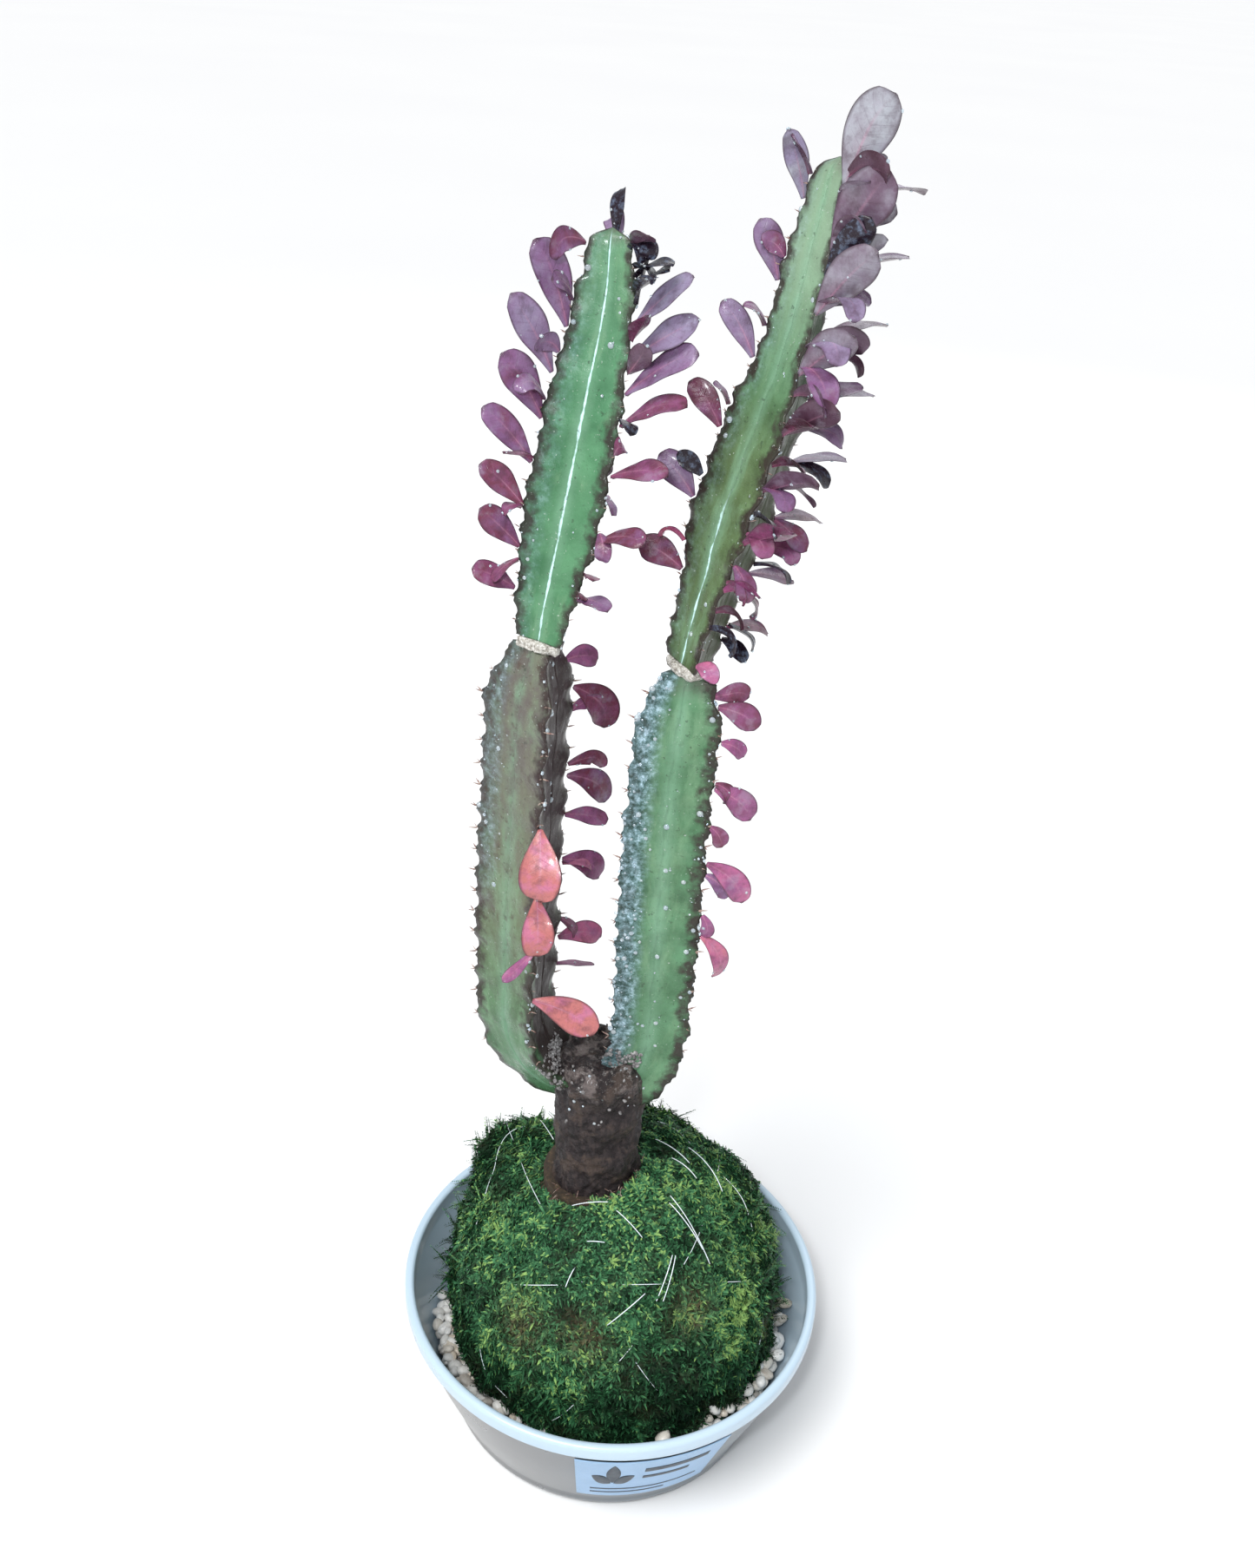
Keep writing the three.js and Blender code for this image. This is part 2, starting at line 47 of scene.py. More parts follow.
BOWL = dict(rim=70, foot=50.8, height=51.5, wall=1.8, floor=2.2, rounding=6, lip=5.5, proud=1.3)
LABEL = dict(width=46, height=33, thickness=0.3, azimuth=-74.5, below_lip=1.5)
BED_DEPTH = 18
UNDER_BALL = 10
BALL = dict(clearance=12.2, squash=0.62, fullness=0.68, swell=1.4, collar=1.8, soil_below=3.5)
TUFTS = [((-0.7, 0.43, 0.56), 11, 0.27), ((0.82, 0.35, 0.46), 4.5, 0.42),
         ((0.12, 0.7, 0.72), 4, 0.38), ((0.8, -0.5, -0.3), 3, 0.4)]
LINE_TILTS = (59, 47, 56)
LINE_TURNS = 5

# Short stretches of line that lie bare on the moss, each between two directions from the ball's middle.
BARE_LINE = [
    ((-0.25, -0.3, 0.9), (-0.05, -0.3, 0.95)), ((0, -0.35, 0.95), (0.15, -0.45, 0.85)),
    ((0.3, -0.2, 0.95), (0.55, -0.45, 0.7)), ((0.3, -0.25, 0.95), (0.5, -0.4, 0.75)),
    ((0.35, -0.5, 0.8), (0.3, -0.7, 0.65)), ((0.33, -0.5, 0.8), (0.26, -0.7, 0.65)),
    ((0.2, -0.7, 0.7), (0, -0.8, 0.55)), ((0.2, 0.25, 0.95), (0.4, 0.1, 0.9)),
    ((0.3, 0.1, 0.95), (0.45, 0, 0.9)), ((0.4, 0.25, 0.9), (0.6, 0, 0.8)),
    ((-0.2, -0.6, 0.75), (-0.25, -0.7, 0.7)), ((-0.5, 0.45, 0.8), (-0.4, 0.2, 0.9)),
    ((-0.15, -0.5, 0.85), (-0.05, -0.5, 0.85)), ((0.2, 0.75, 0.6), (-0.1, 0.9, 0.4)),
    ((-0.8, 0.3, 0.5), (-0.7, 0.6, 0.3)), ((0.8, 0.5, 0.3), (0.6, 0.6, 0.55)),
]
TRUNK = dict(radius=13.4, offset=-8.3, above=47, in_soil=30, ribbing=0.045, bulge=0.08, crown=0.16)
RIBS = 3
PEBBLES = dict(spread=620, heaped=420)
LEAFLET_BATCHES, LEAFLETS = ((4, 28000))
SHOOTS, SHOOT_PAIRS = 420, 11

# Where more shoots stand: a direction from the ball's middle, how many, how far apart and how much longer.
SHOOT_GROUPS = (
    ((-0.97, -0.1, 0.12), 18, 0.12, 4.5), ((0.93, -0.1, 0.42), 34, 0.2, 3.5),
    ((-0.7, 0.43, 0.56), 50, 0.16, 3), ((0.98, -0.25, -0.05), 18, 0.2, 3),
    ((0.1, 0.72, 0.7), 30, 0.3, 3), ((-0.9, 0.1, 0.4), 18, 0.2, 3),
)
CORK = dict(thickness=2.4, radius=7.3)
ELBOW = dict(start=-13, turn=-8, up=6)
GAP = 0.3

LIMBS = {
    "left": dict(
        side=-1, spread=25.3, lower=136, upper=104, joint_shift=2.2,
        lean=[(0.33, 0.42), (0.62, 0.74), (0.85, 0.98), (1, 1)], tip=(12.5, 6),
        phase=(-71, -48, -36),
        lower_girth=[(0.14, 14), (0.5, 14.8), (0.91, 14.2), (1, 8.4)],
        upper_girth=[(0, 7.6), (0.14, 9.8), (0.34, 12), (0.6, 11), (0.8, 8.8), (0.95, 6.6), (1, 4.6)]),
    "right": dict(
        side=1, spread=13.6, lower=132, upper=127, joint_shift=2.6,
        lean=[(0.3, 0.33), (0.58, 0.68), (0.8, 0.88), (1, 1)], tip=(23.4, 3),
        phase=(-30, -84, -74),
        lower_girth=[(0.14, 13.2), (0.5, 13.9), (0.91, 13.4), (1, 8.4)],
        upper_girth=[(0, 7.4), (0.13, 9), (0.32, 12.4), (0.48, 11.6), (0.7, 7.8), (0.8, 7.8),
                     (0.96, 5.8), (1, 3.6)]),
}

# Rows of leaves along a rib: (limb, part, rib, count, from, to), then from the lowest leaf to the highest
# length, width, lift, bend, twist, swing and tone. Tone 0 is pale slate, 0.5 mauve and 1 coral pink.
LEAF_ROWS = [
    ("left", "upper", 2, 7, 0.12, 0.77, (13, 20.5), (6.5, 10),
     (60, 24), (14, 8), (45, 62), (0, -10), (0.6, 0.36)),
    ("left", "upper", 0, 3, 0.14, 0.46, (13, 16), (6.5, 7),
     (66, 56), (26, 16), (-20, -30), (0, 8), (0.6, 0.55)),
    ("left", "upper", 0, 4, 0.58, 0.8, (21, 19), (8.5, 8),
     (50, 34), (12, 8), (-34, -42), (14, 24), (0.48, 0.22)),
    ("right", "upper", 2, 6, 0.18, 0.92, (14, 14), (7.5, 6.5),
     (60, 18), (24, 10), (50, 60), (4, 14), (0.6, 0.3)),
    ("right", "upper", 0, 8, 0.2, 0.96, (14, 22), (8, 11.5),
     (58, 16), (18, 8), (22, 52), (34, 34), (0.64, 0.08)),
    ("right", "upper", 1, 8, 0.08, 0.93, (16, 20), (6.5, 8),
     (84, 66), (16, 10), (-12, 12), (-6, -18), (0.64, 0.36)),
    ("left", "lower", 0, 2, 0.56, 0.7, (19, 20), (10, 11),
     (128, 132), (36, 34), (0, 0), (-6, -12), (1.0, 0.92)),
    ("left", "lower", 1, 4, 0.36, 0.9, (17, 19), (8, 10),
     (78, 112), (46, 50), (-44, -62), (-22, -30), (0.72, 0.62)),
    ("right", "lower", 0, 4, 0.46, 0.96, (18, 13), (7, 8),
     (124, 92), (62, 30), (-36, -60), (24, 34), (0.82, 0.74)),
    ("left", "lower", 0, 1, 0.33, 0.33, (23, 23), (11, 11),
     (95, 95), (34, 34), (-60, -60), (66, 66), (0.97, 0.97)),
]

# Small, young and withered leaves that are not solids of their own, in rows of the same kind, each leaf of
# which also differs at random from its row. The last number is the share of them that are nearly black: dark
# leaves at the left upper stem's tip, elsewhere dark leaves put as painted shade between the leaves.
SMALL_LEAF_ROWS = [
    ("left", "upper", 2, 7, 0.2, 0.96, (8, 11), (4.5, 6),
     (70, 30), (40, 40), (0, 60), (24, 30), (0.6, 0.4), 0.1),
    ("left", "upper", 0, 10, 0.12, 0.97, (7, 11), (4, 6),
     (80, 40), (50, 40), (10, 40), (-30, -26), (0.66, 0.42), 0.15),
    ("left", "upper", 1, 1, 0.985, 0.985, (14, 14), (4.5, 4.5),
     (10, 10), (10, 10), (20, 20), (0, 0), (0.5, 0.5), 1),
    ("left", "upper", 0, 6, 0.86, 0.985, (13, 10), (6.5, 5),
     (62, 40), (60, 90), (-40, 20), (10, -20), (0.3, 0.2), 1),
    ("left", "upper", 1, 5, 0.2, 0.95, (9, 12), (5, 6),
     (70, 40), (30, 30), (0, 30), (-30, 20), (0.6, 0.4), 0.15),
    ("right", "upper", 2, 6, 0.24, 0.97, (8, 9), (4.5, 5),
     (70, 30), (40, 40), (0, 50), (20, 24), (0.68, 0.45), 0.15),
    ("right", "upper", 0, 18, 0.04, 0.97, (10, 15), (5.5, 8),
     (84, 40), (50, 40), (-20, 30), (40, 20), (0.7, 0.35), 0.15),
    ("right", "upper", 1, 16, 0.04, 0.93, (10, 14), (6, 8),
     (92, 50), (44, 40), (-20, 40), (-50, -30), (0.66, 0.25), 0.15),
    ("left", "lower", 0, 1, 0.44, 0.44, (13, 13), (4.5, 4.5),
     (140, 140), (-20, -20), (30, 30), (-66, -66), (0.7, 0.7), 0),
    ("left", "lower", 1, 7, 0.3, 0.97, (12, 12), (5, 6.5),
     (96, 80), (60, 50), (-30, -80), (-40, -20), (0.68, 0.74), 0),
    ("right", "lower", 0, 6, 0.5, 0.99, (9, 10), (4.5, 6),
     (110, 80), (50, 50), (-60, -20), (10, 50), (0.7, 0.72), 0),
]
RIB_NAMES = ("front", "back", "left")
LEAF = dict(thickness=1, stalk=1.4, cup=0.14, uneven_size=0.1, uneven_turn=5)


# ---- Smooth numbers -------------------------------------------------------------------------------------

def mix(a, b, share):
    """The first value plus a share of the way to the second."""
    return a + (b - a) * share


def smooth(value, low, high):
    """0 below low, 1 above high and an S-shaped cubic between."""
    share = np.clip((value - low) / (high - low), 0, 1)
    return share * share * (3 - 2 * share)


def stepped(steps, share):
    """The value at a share through a list of (share, value), with an S-shaped cubic between neighbours."""
    places = np.array([s[0] for s in steps], float)
    values = np.array([s[1] for s in steps], float)
    last = np.clip(np.searchsorted(places, share, "left"), 1, len(places) - 1)
    return mix(values[last - 1], values[last], smooth(share, places[last - 1], places[last]))


def unevenness(index, use):
    """A repeatable number from -1 to 1 for each whole number and use."""
    wave = math.sin(index * 12.9898 + use * 78.233) * 43758.5453
    return 2 * (wave - math.floor(wave)) - 1


def unit(vectors):
    """Each vector divided by its own length."""
    return vectors / np.maximum(np.linalg.norm(vectors, axis=-1, keepdims=True), 1e-9)


def lattice_noise(points, seed):
    """Random numbers from -1 to 1 on the corners of a unit lattice, blended by S-shaped cubics."""
    cell = np.floor(points).astype(np.int64)
    part = points - cell
    part = part * part * (3 - 2 * part)
    total = np.zeros(len(points))
    for corner in np.ndindex(2, 2, 2):
        x, y, z = (cell[:, k] + corner[k] for k in range(3))
        mixed = x * 374761393 + y * 668265263 + z * 1440662683 + seed * 974634777
        mixed = (mixed ^ (mixed >> 13)) * 1274126177
        mixed = (mixed ^ (mixed >> 16)) & 0xFFFF
        weight = np.prod([part[:, k] if corner[k] else 1 - part[:, k] for k in range(3)], axis=0)
        total += weight * (mixed / 32767.5 - 1)
    return total


def rough(points, size, seed, octaves=3):
    """Lattice noise with lumps of a size in millimetres, each finer octave half as large and as strong."""
    flat = points.reshape(-1, 3) / size
    layers = [lattice_noise(flat * 2 ** k + 31.7 * k, seed + k) / 2 ** k for k in range(octaves)]
    return sum(layers).reshape(points.shape[:-1])


# ---- Surfaces -------------------------------------------------------------------------------------------

def circle(around):
    """Even angles round a whole turn."""
    return np.linspace(0, TURN, around, endpoint=False)


def ring_grid(rows, around, low=0.0, high=1.0):
    """Shares from low to high along a tube, and angles round it, at every point of its rings."""
    return np.meshgrid(np.linspace(low, high, rows), circle(around), indexing="ij")


def polar(radius, angle, z, middle=0.0):
    """Points at a radius, an angle and a height round an upright axis whose x is middle."""
    return np.stack(np.broadcast_arrays(middle + radius * np.cos(angle), radius * np.sin(angle), z), -1)


def nearness(direction, towards, width):
    """A bell curve: 1 in a direction, and falling with the square of the distance from it over a width."""
    away = np.linalg.norm(direction - unit(np.array(towards)), axis=-1) / width
    return np.exp(-away * away)


def piece(name, points, faces, finish, nodes=(), slot=None, marks=None):
    """A mesh piece from points in millimetres that rides on the root and may stand for some solids."""
    mesh = bpy.data.meshes.new(name)
    mesh.from_pydata((points * MM).tolist(), [], [face for group in faces for face in group.tolist()])
    mesh.polygons.foreach_set("use_smooth", np.ones(len(mesh.polygons), bool))
    for mark, values in (marks or {}).items():
        layer = mesh.attributes.new(mark, "FLOAT", "POINT")
        layer.data.foreach_set("value", np.ascontiguousarray(values, np.float32).ravel())
    mesh.materials.append(finish)
    mesh.update()
    made = bpy.data.objects.new(name, mesh)
    bpy.context.scene.collection.objects.link(made)
    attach(made, "root")
    if nodes:
        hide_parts(*nodes)
    return made


def ring_faces(rings, around, closed=False):
    """Quads between the rings of a tube; if it is closed, its last ring joins its first."""
    start = (np.arange(rings if closed else rings - 1) * around)[:, None]
    here = np.arange(around)
    after = (here + 1) % around
    ahead = (start + around) % (rings * around)
    return np.stack([start + here, start + after, ahead + after, ahead + here], -1).reshape(-1, 4)


def capped(grid):
    """A tube of rings closed at both ends by a point in the middle of its end ring."""
    rings, around = grid.shape[:2]
    points = np.vstack([grid.reshape(-1, 3), grid[0].mean(0)[None], grid[-1].mean(0)[None]])
    here = np.arange(around)
    after = (here + 1) % around
    low = np.stack([after, here, np.full(around, rings * around)], 1)
    top = (rings - 1) * around
    high = np.stack([top + here, top + after, np.full(around, rings * around + 1)], 1)
    return points, [ring_faces(rings, around), low, high]


def capped_marks(grid_values):
    """Values of a ring grid with those of the two end points added."""
    return np.concatenate([grid_values.ravel(), [grid_values[0].mean(), grid_values[-1].mean()]])


def many(points, faces, copies):
    """Faces of equal shapes whose points follow one another."""
    step = len(points)
    return [(group[None] + (np.arange(copies) * step)[:, None, None]).reshape(-1, group.shape[1])
            for group in faces]


def lathe(profile, around):
    """A profile of (radius, height) from the axis to the axis, turned about the vertical axis."""
    body = profile[1:-1]
    points, faces = capped(polar(body[:, :1], circle(around), body[:, 1:]))
    points[-2] = (0, 0, profile[0, 1])
    points[-1] = (0, 0, profile[-1, 1])
    return points, faces


def slab(front, back):
    """A closed sheet between two grids of points with the same rows and columns."""
    rows, columns = front.shape[:2]
    points = np.vstack([front.reshape(-1, 3), back.reshape(-1, 3)])
    index = np.arange(rows * columns).reshape(rows, columns)
    low, right = index[:-1, :-1], index[:-1, 1:]
    face = np.stack([low, right, index[1:, 1:], index[1:, :-1]], -1).reshape(-1, 4)
    border = np.concatenate([index[0, :-1], index[:-1, -1], index[-1, :0:-1], index[:0:-1, 0]])
    ahead = np.roll(border, -1)
    shift = rows * columns
    edge = np.stack([border + shift, ahead + shift, ahead, border], -1)
    return points, [face, face[:, ::-1] + shift, edge]


def globe(around, rows):
    """A unit ball as rings from its bottom to its top, used as the start of stones, drops and grains."""
    height = np.linspace(-math.pi / 2, math.pi / 2, rows + 2)[1:-1, None]
    points, faces = capped(polar(np.cos(height), circle(around), np.sin(height)))
    points[-2:] = [(0, 0, -1), (0, 0, 1)]
    return points, faces


def turned_frames(normals, random):
    """For each normal, two more directions at right angles to it, turned by a random angle."""
    helper = np.where(np.abs(normals[:, 2:]) < 0.9, [[0, 0, 1.0]], [[1.0, 0, 0]])
    first = unit(np.cross(helper, normals))
    second = np.cross(normals, first)
    angle = random.uniform(0, TURN, len(normals))[:, None]
    return first * np.cos(angle) + second * np.sin(angle), second * np.cos(angle) - first * np.sin(angle)


def scattered(shape, places, normals, sizes, random, lumps=0.0):
    """Copies of a unit shape at places, each standing on its normal with its own three sizes and dents."""
    base, faces = shape
    first, second = turned_frames(normals, random)
    axes = np.stack([first, second, normals], 1)
    local = np.repeat(base[None], len(places), 0)
    if lumps:
        offsets = random.uniform(0, 90, (len(places), 1, 3))
        local = local * (1 + lumps * rough(local * 1.1 + offsets, 1.0, 5, 2))[..., None]
    local = local * sizes[:, None, :]
    points = np.einsum("npk,nkc->npc", local, axes) + places[:, None, :]
    return points.reshape(-1, 3), many(base, faces, len(places)), len(base)


# ---- Finishes -------------------------------------------------------------------------------------------

class Finish:
    """A material built node by node: each method adds a node and returns its output."""

    def __init__(self, name):
        """An empty material whose patterns are placed by the object's own coordinates."""
        self.material = bpy.data.materials.new(name)
        self.material.use_nodes = True
        self.tree = self.material.node_tree
        self.tree.nodes.clear()
        self.place = self.add("ShaderNodeTexCoord").outputs["Object"]

    def add(self, kind, inputs=None, **settings):
        """A node of a kind, with its inputs linked or set, and its other settings."""
        node = self.tree.nodes.new(kind)
        for key, value in settings.items():
            setattr(node, key, value)
        for key, value in (inputs or {}).items():
            if isinstance(value, bpy.types.NodeSocket):
                self.tree.links.new(value, node.inputs[key])
            else:
                node.inputs[key].default_value = value
        return node

    def mark(self, name):
        """A number stored on the mesh's points."""
        return self.add("ShaderNodeAttribute", attribute_name=name).outputs["Fac"]

    def stretched(self, x, y, z):
        """Coordinates times a scale along each axis, so a pattern is longer where that is under 1."""
        return self.add("ShaderNodeMapping", {"Vector": self.place, "Scale": (x, y, z)}).outputs["Vector"]

    def noise(self, size, detail=3.0, roughness=0.55, at=None):
        """Cloudy noise with lumps of a size in millimetres."""
        inputs = {"Vector": at or self.place, "Scale": 1 / (size * MM), "Detail": detail,
                  "Roughness": roughness}
        return self.add("ShaderNodeTexNoise", inputs).outputs["Fac"]

    def cells(self, size):
        """The distance to the nearest of many scattered points a size in millimetres apart."""
        inputs = {"Vector": self.place, "Scale": 1 / (size * MM)}
        return self.add("ShaderNodeTexVoronoi", inputs).outputs["Distance"]

    def ramp(self, factor, stops):
        """Colours at stops from 0 to 1, mixed evenly between neighbours."""
        node = self.add("ShaderNodeValToRGB", {"Fac": factor})
        elements = node.color_ramp.elements
        while len(elements) < len(stops):
            elements.new(0.5)
        for element, (at, colour) in zip(elements, stops):
            element.position = at
            element.color = (*colour, 1)
        return node.outputs["Color"]

    def range(self, value, low, high, new_low=0.0, new_high=1.0):
        """A straight line from the old range to the new one, held level outside it."""
        inputs = {"Value": value, "From Min": low, "From Max": high, "To Min": new_low, "To Max": new_high}
        return self.add("ShaderNodeMapRange", inputs).outputs["Result"]

    def math(self, what, a, b=0.0):
        """Arithmetic on one or two values."""
        return self.add("ShaderNodeMath", {0: a, 1: b}, operation=what).outputs[0]

    def times(self, a, b):
        """The product of two values."""
        return self.math("MULTIPLY", a, b)

    def plus(self, a, b):
        """The sum of two values."""
        return self.math("ADD", a, b)

    def over(self, cloud, low, high):
        """A number from low to high over the usual range of a cloud."""
        return self.range(cloud, 0.3, 0.7, low, high)

    def blend(self, factor, a, b):
        """The first colour with a share of the way to the second."""
        node = self.add("ShaderNodeMix", data_type="RGBA")
        for key, value in ((0, factor), (6, a), (7, b)):
            if isinstance(value, bpy.types.NodeSocket):
                self.tree.links.new(value, node.inputs[key])
            else:
                node.inputs[key].default_value = value if key == 0 else (*value, 1)
        return node.outputs[2]

    def bump(self, height, strength, distance):
        """Surface directions tilted by the slope of a height that spans a distance in millimetres."""
        inputs = {"Height": height, "Strength": strength, "Distance": distance * MM}
        return self.add("ShaderNodeBump", inputs).outputs["Normal"]

    def finish(self, colour, roughness, normal, **constants):
        """The shader with its colour, roughness, bump and constants, joined to the material's output."""
        inputs = {"Base Color": colour, "Roughness": roughness, "Normal": normal}
        inputs.update({key.replace("_", " "): value for key, value in constants.items()})
        shader = self.add("ShaderNodeBsdfPrincipled", inputs)
        out = self.add("ShaderNodeOutputMaterial")
        self.tree.links.new(shader.outputs[0], out.inputs["Surface"])
        return self.material


def grain_finish(name, grain, stops, gloss, bump):
    """A finish whose one cloud, by size, detail and roughness, makes its colour, its gloss and its bumps."""
    f = Finish(name)
    cloud = f.noise(*grain)
    return f.finish(f.ramp(cloud, stops), f.over(cloud, *gloss), f.bump(cloud, *bump))


def cloud_finish(name, clouds, stops, gloss, bump, **constants):
    """A finish with a cloud each for its colour, its gloss and its bumps."""
    f = Finish(name)
    tint, shine, dents = (f.noise(*cloud) for cloud in clouds)
    return f.finish(f.ramp(tint, stops), f.over(shine, *gloss), f.bump(dents, *bump), **constants)


def bowl_finish():
    """Pale blue plastic, painted lighter inside and darker on the outside wall as painted light and shade; the
    outside wall is taupe at the left and bluish at the right.
    """
    f = Finish("pale bowl plastic")
    cloud = f.noise(60, 2)
    # Painted light: the inside is a much lighter blue than the outside wall of the same plastic, to offset the
    # ball's shade.
    inner = f.ramp(cloud, [(0.3, (0.47, 0.6, 0.71)), (0.7, (0.52, 0.65, 0.76))])
    sideways = f.add("ShaderNodeSeparateXYZ", {"Vector": f.place}).outputs["X"]
    drift = f.plus(f.range(sideways, -0.07, 0.06), f.over(cloud, -0.1, 0.1))
    shaded_outside = f.ramp(drift, [(0.2, (0.146, 0.143, 0.142)), (0.75, (0.126, 0.15, 0.172))])
    colour = f.blend(f.mark("shaded_outside"), inner, shaded_outside)
    dust = f.range(f.noise(1.6, 5, 0.7), 0.62, 0.78)
    colour = f.blend(f.times(dust, 0.04), colour, (0.15, 0.15, 0.14))
    roughness = f.over(f.noise(20, 3), 0.27, 0.31)
    grain = f.bump(f.noise(0.9, 2), 0.06, 0.04)
    return f.finish(colour, roughness, grain, Coat_Weight=0.2, Coat_Roughness=0.12, IOR=1.47)


def paper_finish():
    """White paper painted pale blue as painted shade, with short upright fibres."""
    f = Finish("label paper")
    # Painted shade: the white paper is given a shaded pale blue.
    colour = f.ramp(f.noise(9, 4), [(0.3, (0.3, 0.46, 0.66)), (0.75, (0.35, 0.52, 0.73))])
    fibres = f.noise(0.5, 4, at=f.stretched(1, 1, 0.3))
    return f.finish(colour, f.over(fibres, 0.4, 0.58), f.bump(fibres, 0.3, 0.04))


def ink_finish():
    """Nearly black print, a little worn."""
    return cloud_finish("label print", ((1.1, 4), (2.2,), (0.4,)), [(0.35, (0.02, 0.03, 0.045)),
                        (0.75, (0.06, 0.08, 0.1))], (0.42, 0.6), (0.2, 0.02))


def pebble_finish():
    """White, sand or grey by each stone's kind, with faint bands and brown spots."""
    f = Finish("washed pebbles")
    kind = f.mark("kind")
    colour = f.ramp(kind, [(0.0, (0.68, 0.68, 0.67)), (0.4, (0.6, 0.58, 0.54)), (0.65, (0.5, 0.43, 0.34)),
                           (0.85, (0.32, 0.29, 0.26)), (1.0, (0.64, 0.64, 0.63))])
    spots = f.range(f.noise(0.8, 4, 0.7), 0.5, 0.75)
    colour = f.blend(f.times(spots, 0.5), colour, (0.3, 0.24, 0.17))
    bands = f.noise(2.6, 4)
    colour = f.blend(f.range(bands, 0.4, 0.7, 0.0, 0.35), colour, (0.85, 0.82, 0.76))
    roughness = f.over(bands, 0.3, 0.6)
    return f.finish(colour, roughness, f.bump(f.noise(0.6, 5, 0.7), 0.5, 0.12), Coat_Weight=0.15)


def soil_finish():
    """Nearly black soil with brown crumbs."""
    return grain_finish("damp soil", (1.6, 6, 0.75), [(0.3, (0.012, 0.009, 0.006)),
                        (0.55, (0.05, 0.032, 0.018)), (0.75, (0.15, 0.1, 0.055))], (0.55, 0.9), (0.9, 0.6))


def moss_finish():
    """From nearly black through green to yellow-green by tone, which carries painted light and shade, with dark
    specks and dry brown patches.
    """
    f = Finish("sheet moss")
    tone = f.mark("tone")
    fine = f.noise(1.1, 5, 0.72)
    colour = f.ramp(tone, [(0.0, (0.003, 0.01, 0.004)), (0.3, (0.008, 0.034, 0.013)),
                           (0.55, (0.022, 0.098, 0.038)), (0.8, (0.075, 0.25, 0.105)), (1.0, (0.3, 0.5, 0.14))])
    colour = f.blend(f.range(fine, 0.38, 0.66, 0.0, 0.5), colour, (0.006, 0.022, 0.01))
    colour = f.blend(f.mark("brown"), colour, (0.085, 0.055, 0.03))
    roughness = f.over(fine, 0.36, 0.7)
    return f.finish(colour, roughness, f.bump(fine, 0.7, 0.4), Specular_IOR_Level=0.15)


def line_finish():
    """Glossy clear line, painted pale bluish white as a painted glint of the light it catches, and letting
    little light through.
    """
    return cloud_finish("clear nylon", ((3, 2), (5,), (0.7,)), [(0.3, (0.75, 0.86, 0.92)),
                        (0.7, (0.92, 0.97, 1.0))], (0.06, 0.2), (0.1, 0.02),
                        Transmission_Weight=0.1, IOR=1.53, Coat_Weight=0.8)


def bark_finish():
    """Nearly black bark with broad tan and grey patches and a pale crust towards the crown."""
    f = Finish("wet bark")
    streaks = f.noise(2.4, 6, 0.7, f.stretched(1, 1, 0.45))
    colour = f.ramp(streaks, [(0.3, (0.01, 0.008, 0.009)), (0.5, (0.032, 0.024, 0.025)),
                              (0.68, (0.075, 0.055, 0.05)), (0.84, (0.17, 0.13, 0.11))])
    broad = f.range(f.noise(8, 5, 0.65), 0.54, 0.62, 0.0, 0.75)
    colour = f.blend(broad, colour, (0.088, 0.062, 0.05))
    pale = f.times(f.range(f.noise(5.5, 5, 0.6), 0.52, 0.62, 0.0, 0.8), f.mark("crown"))
    colour = f.blend(pale, colour, (0.24, 0.2, 0.19))
    crust = f.range(f.noise(1.3, 6, 0.75), 0.55, 0.68)
    colour = f.blend(f.times(crust, f.mark("crown")), colour, (0.36, 0.34, 0.32))
    colour = f.blend(f.times(crust, 0.3), colour, (0.12, 0.1, 0.1))
    height = f.plus(f.plus(streaks, f.times(f.cells(1.8), 0.35)), f.noise(0.6, 4, 0.7))
    return f.finish(colour, f.range(streaks, 0.3, 0.75, 0.24, 0.65), f.bump(height, 1.0, 0.8),
                    Specular_IOR_Level=0.22, Coat_Weight=0.08, Coat_Roughness=0.12)


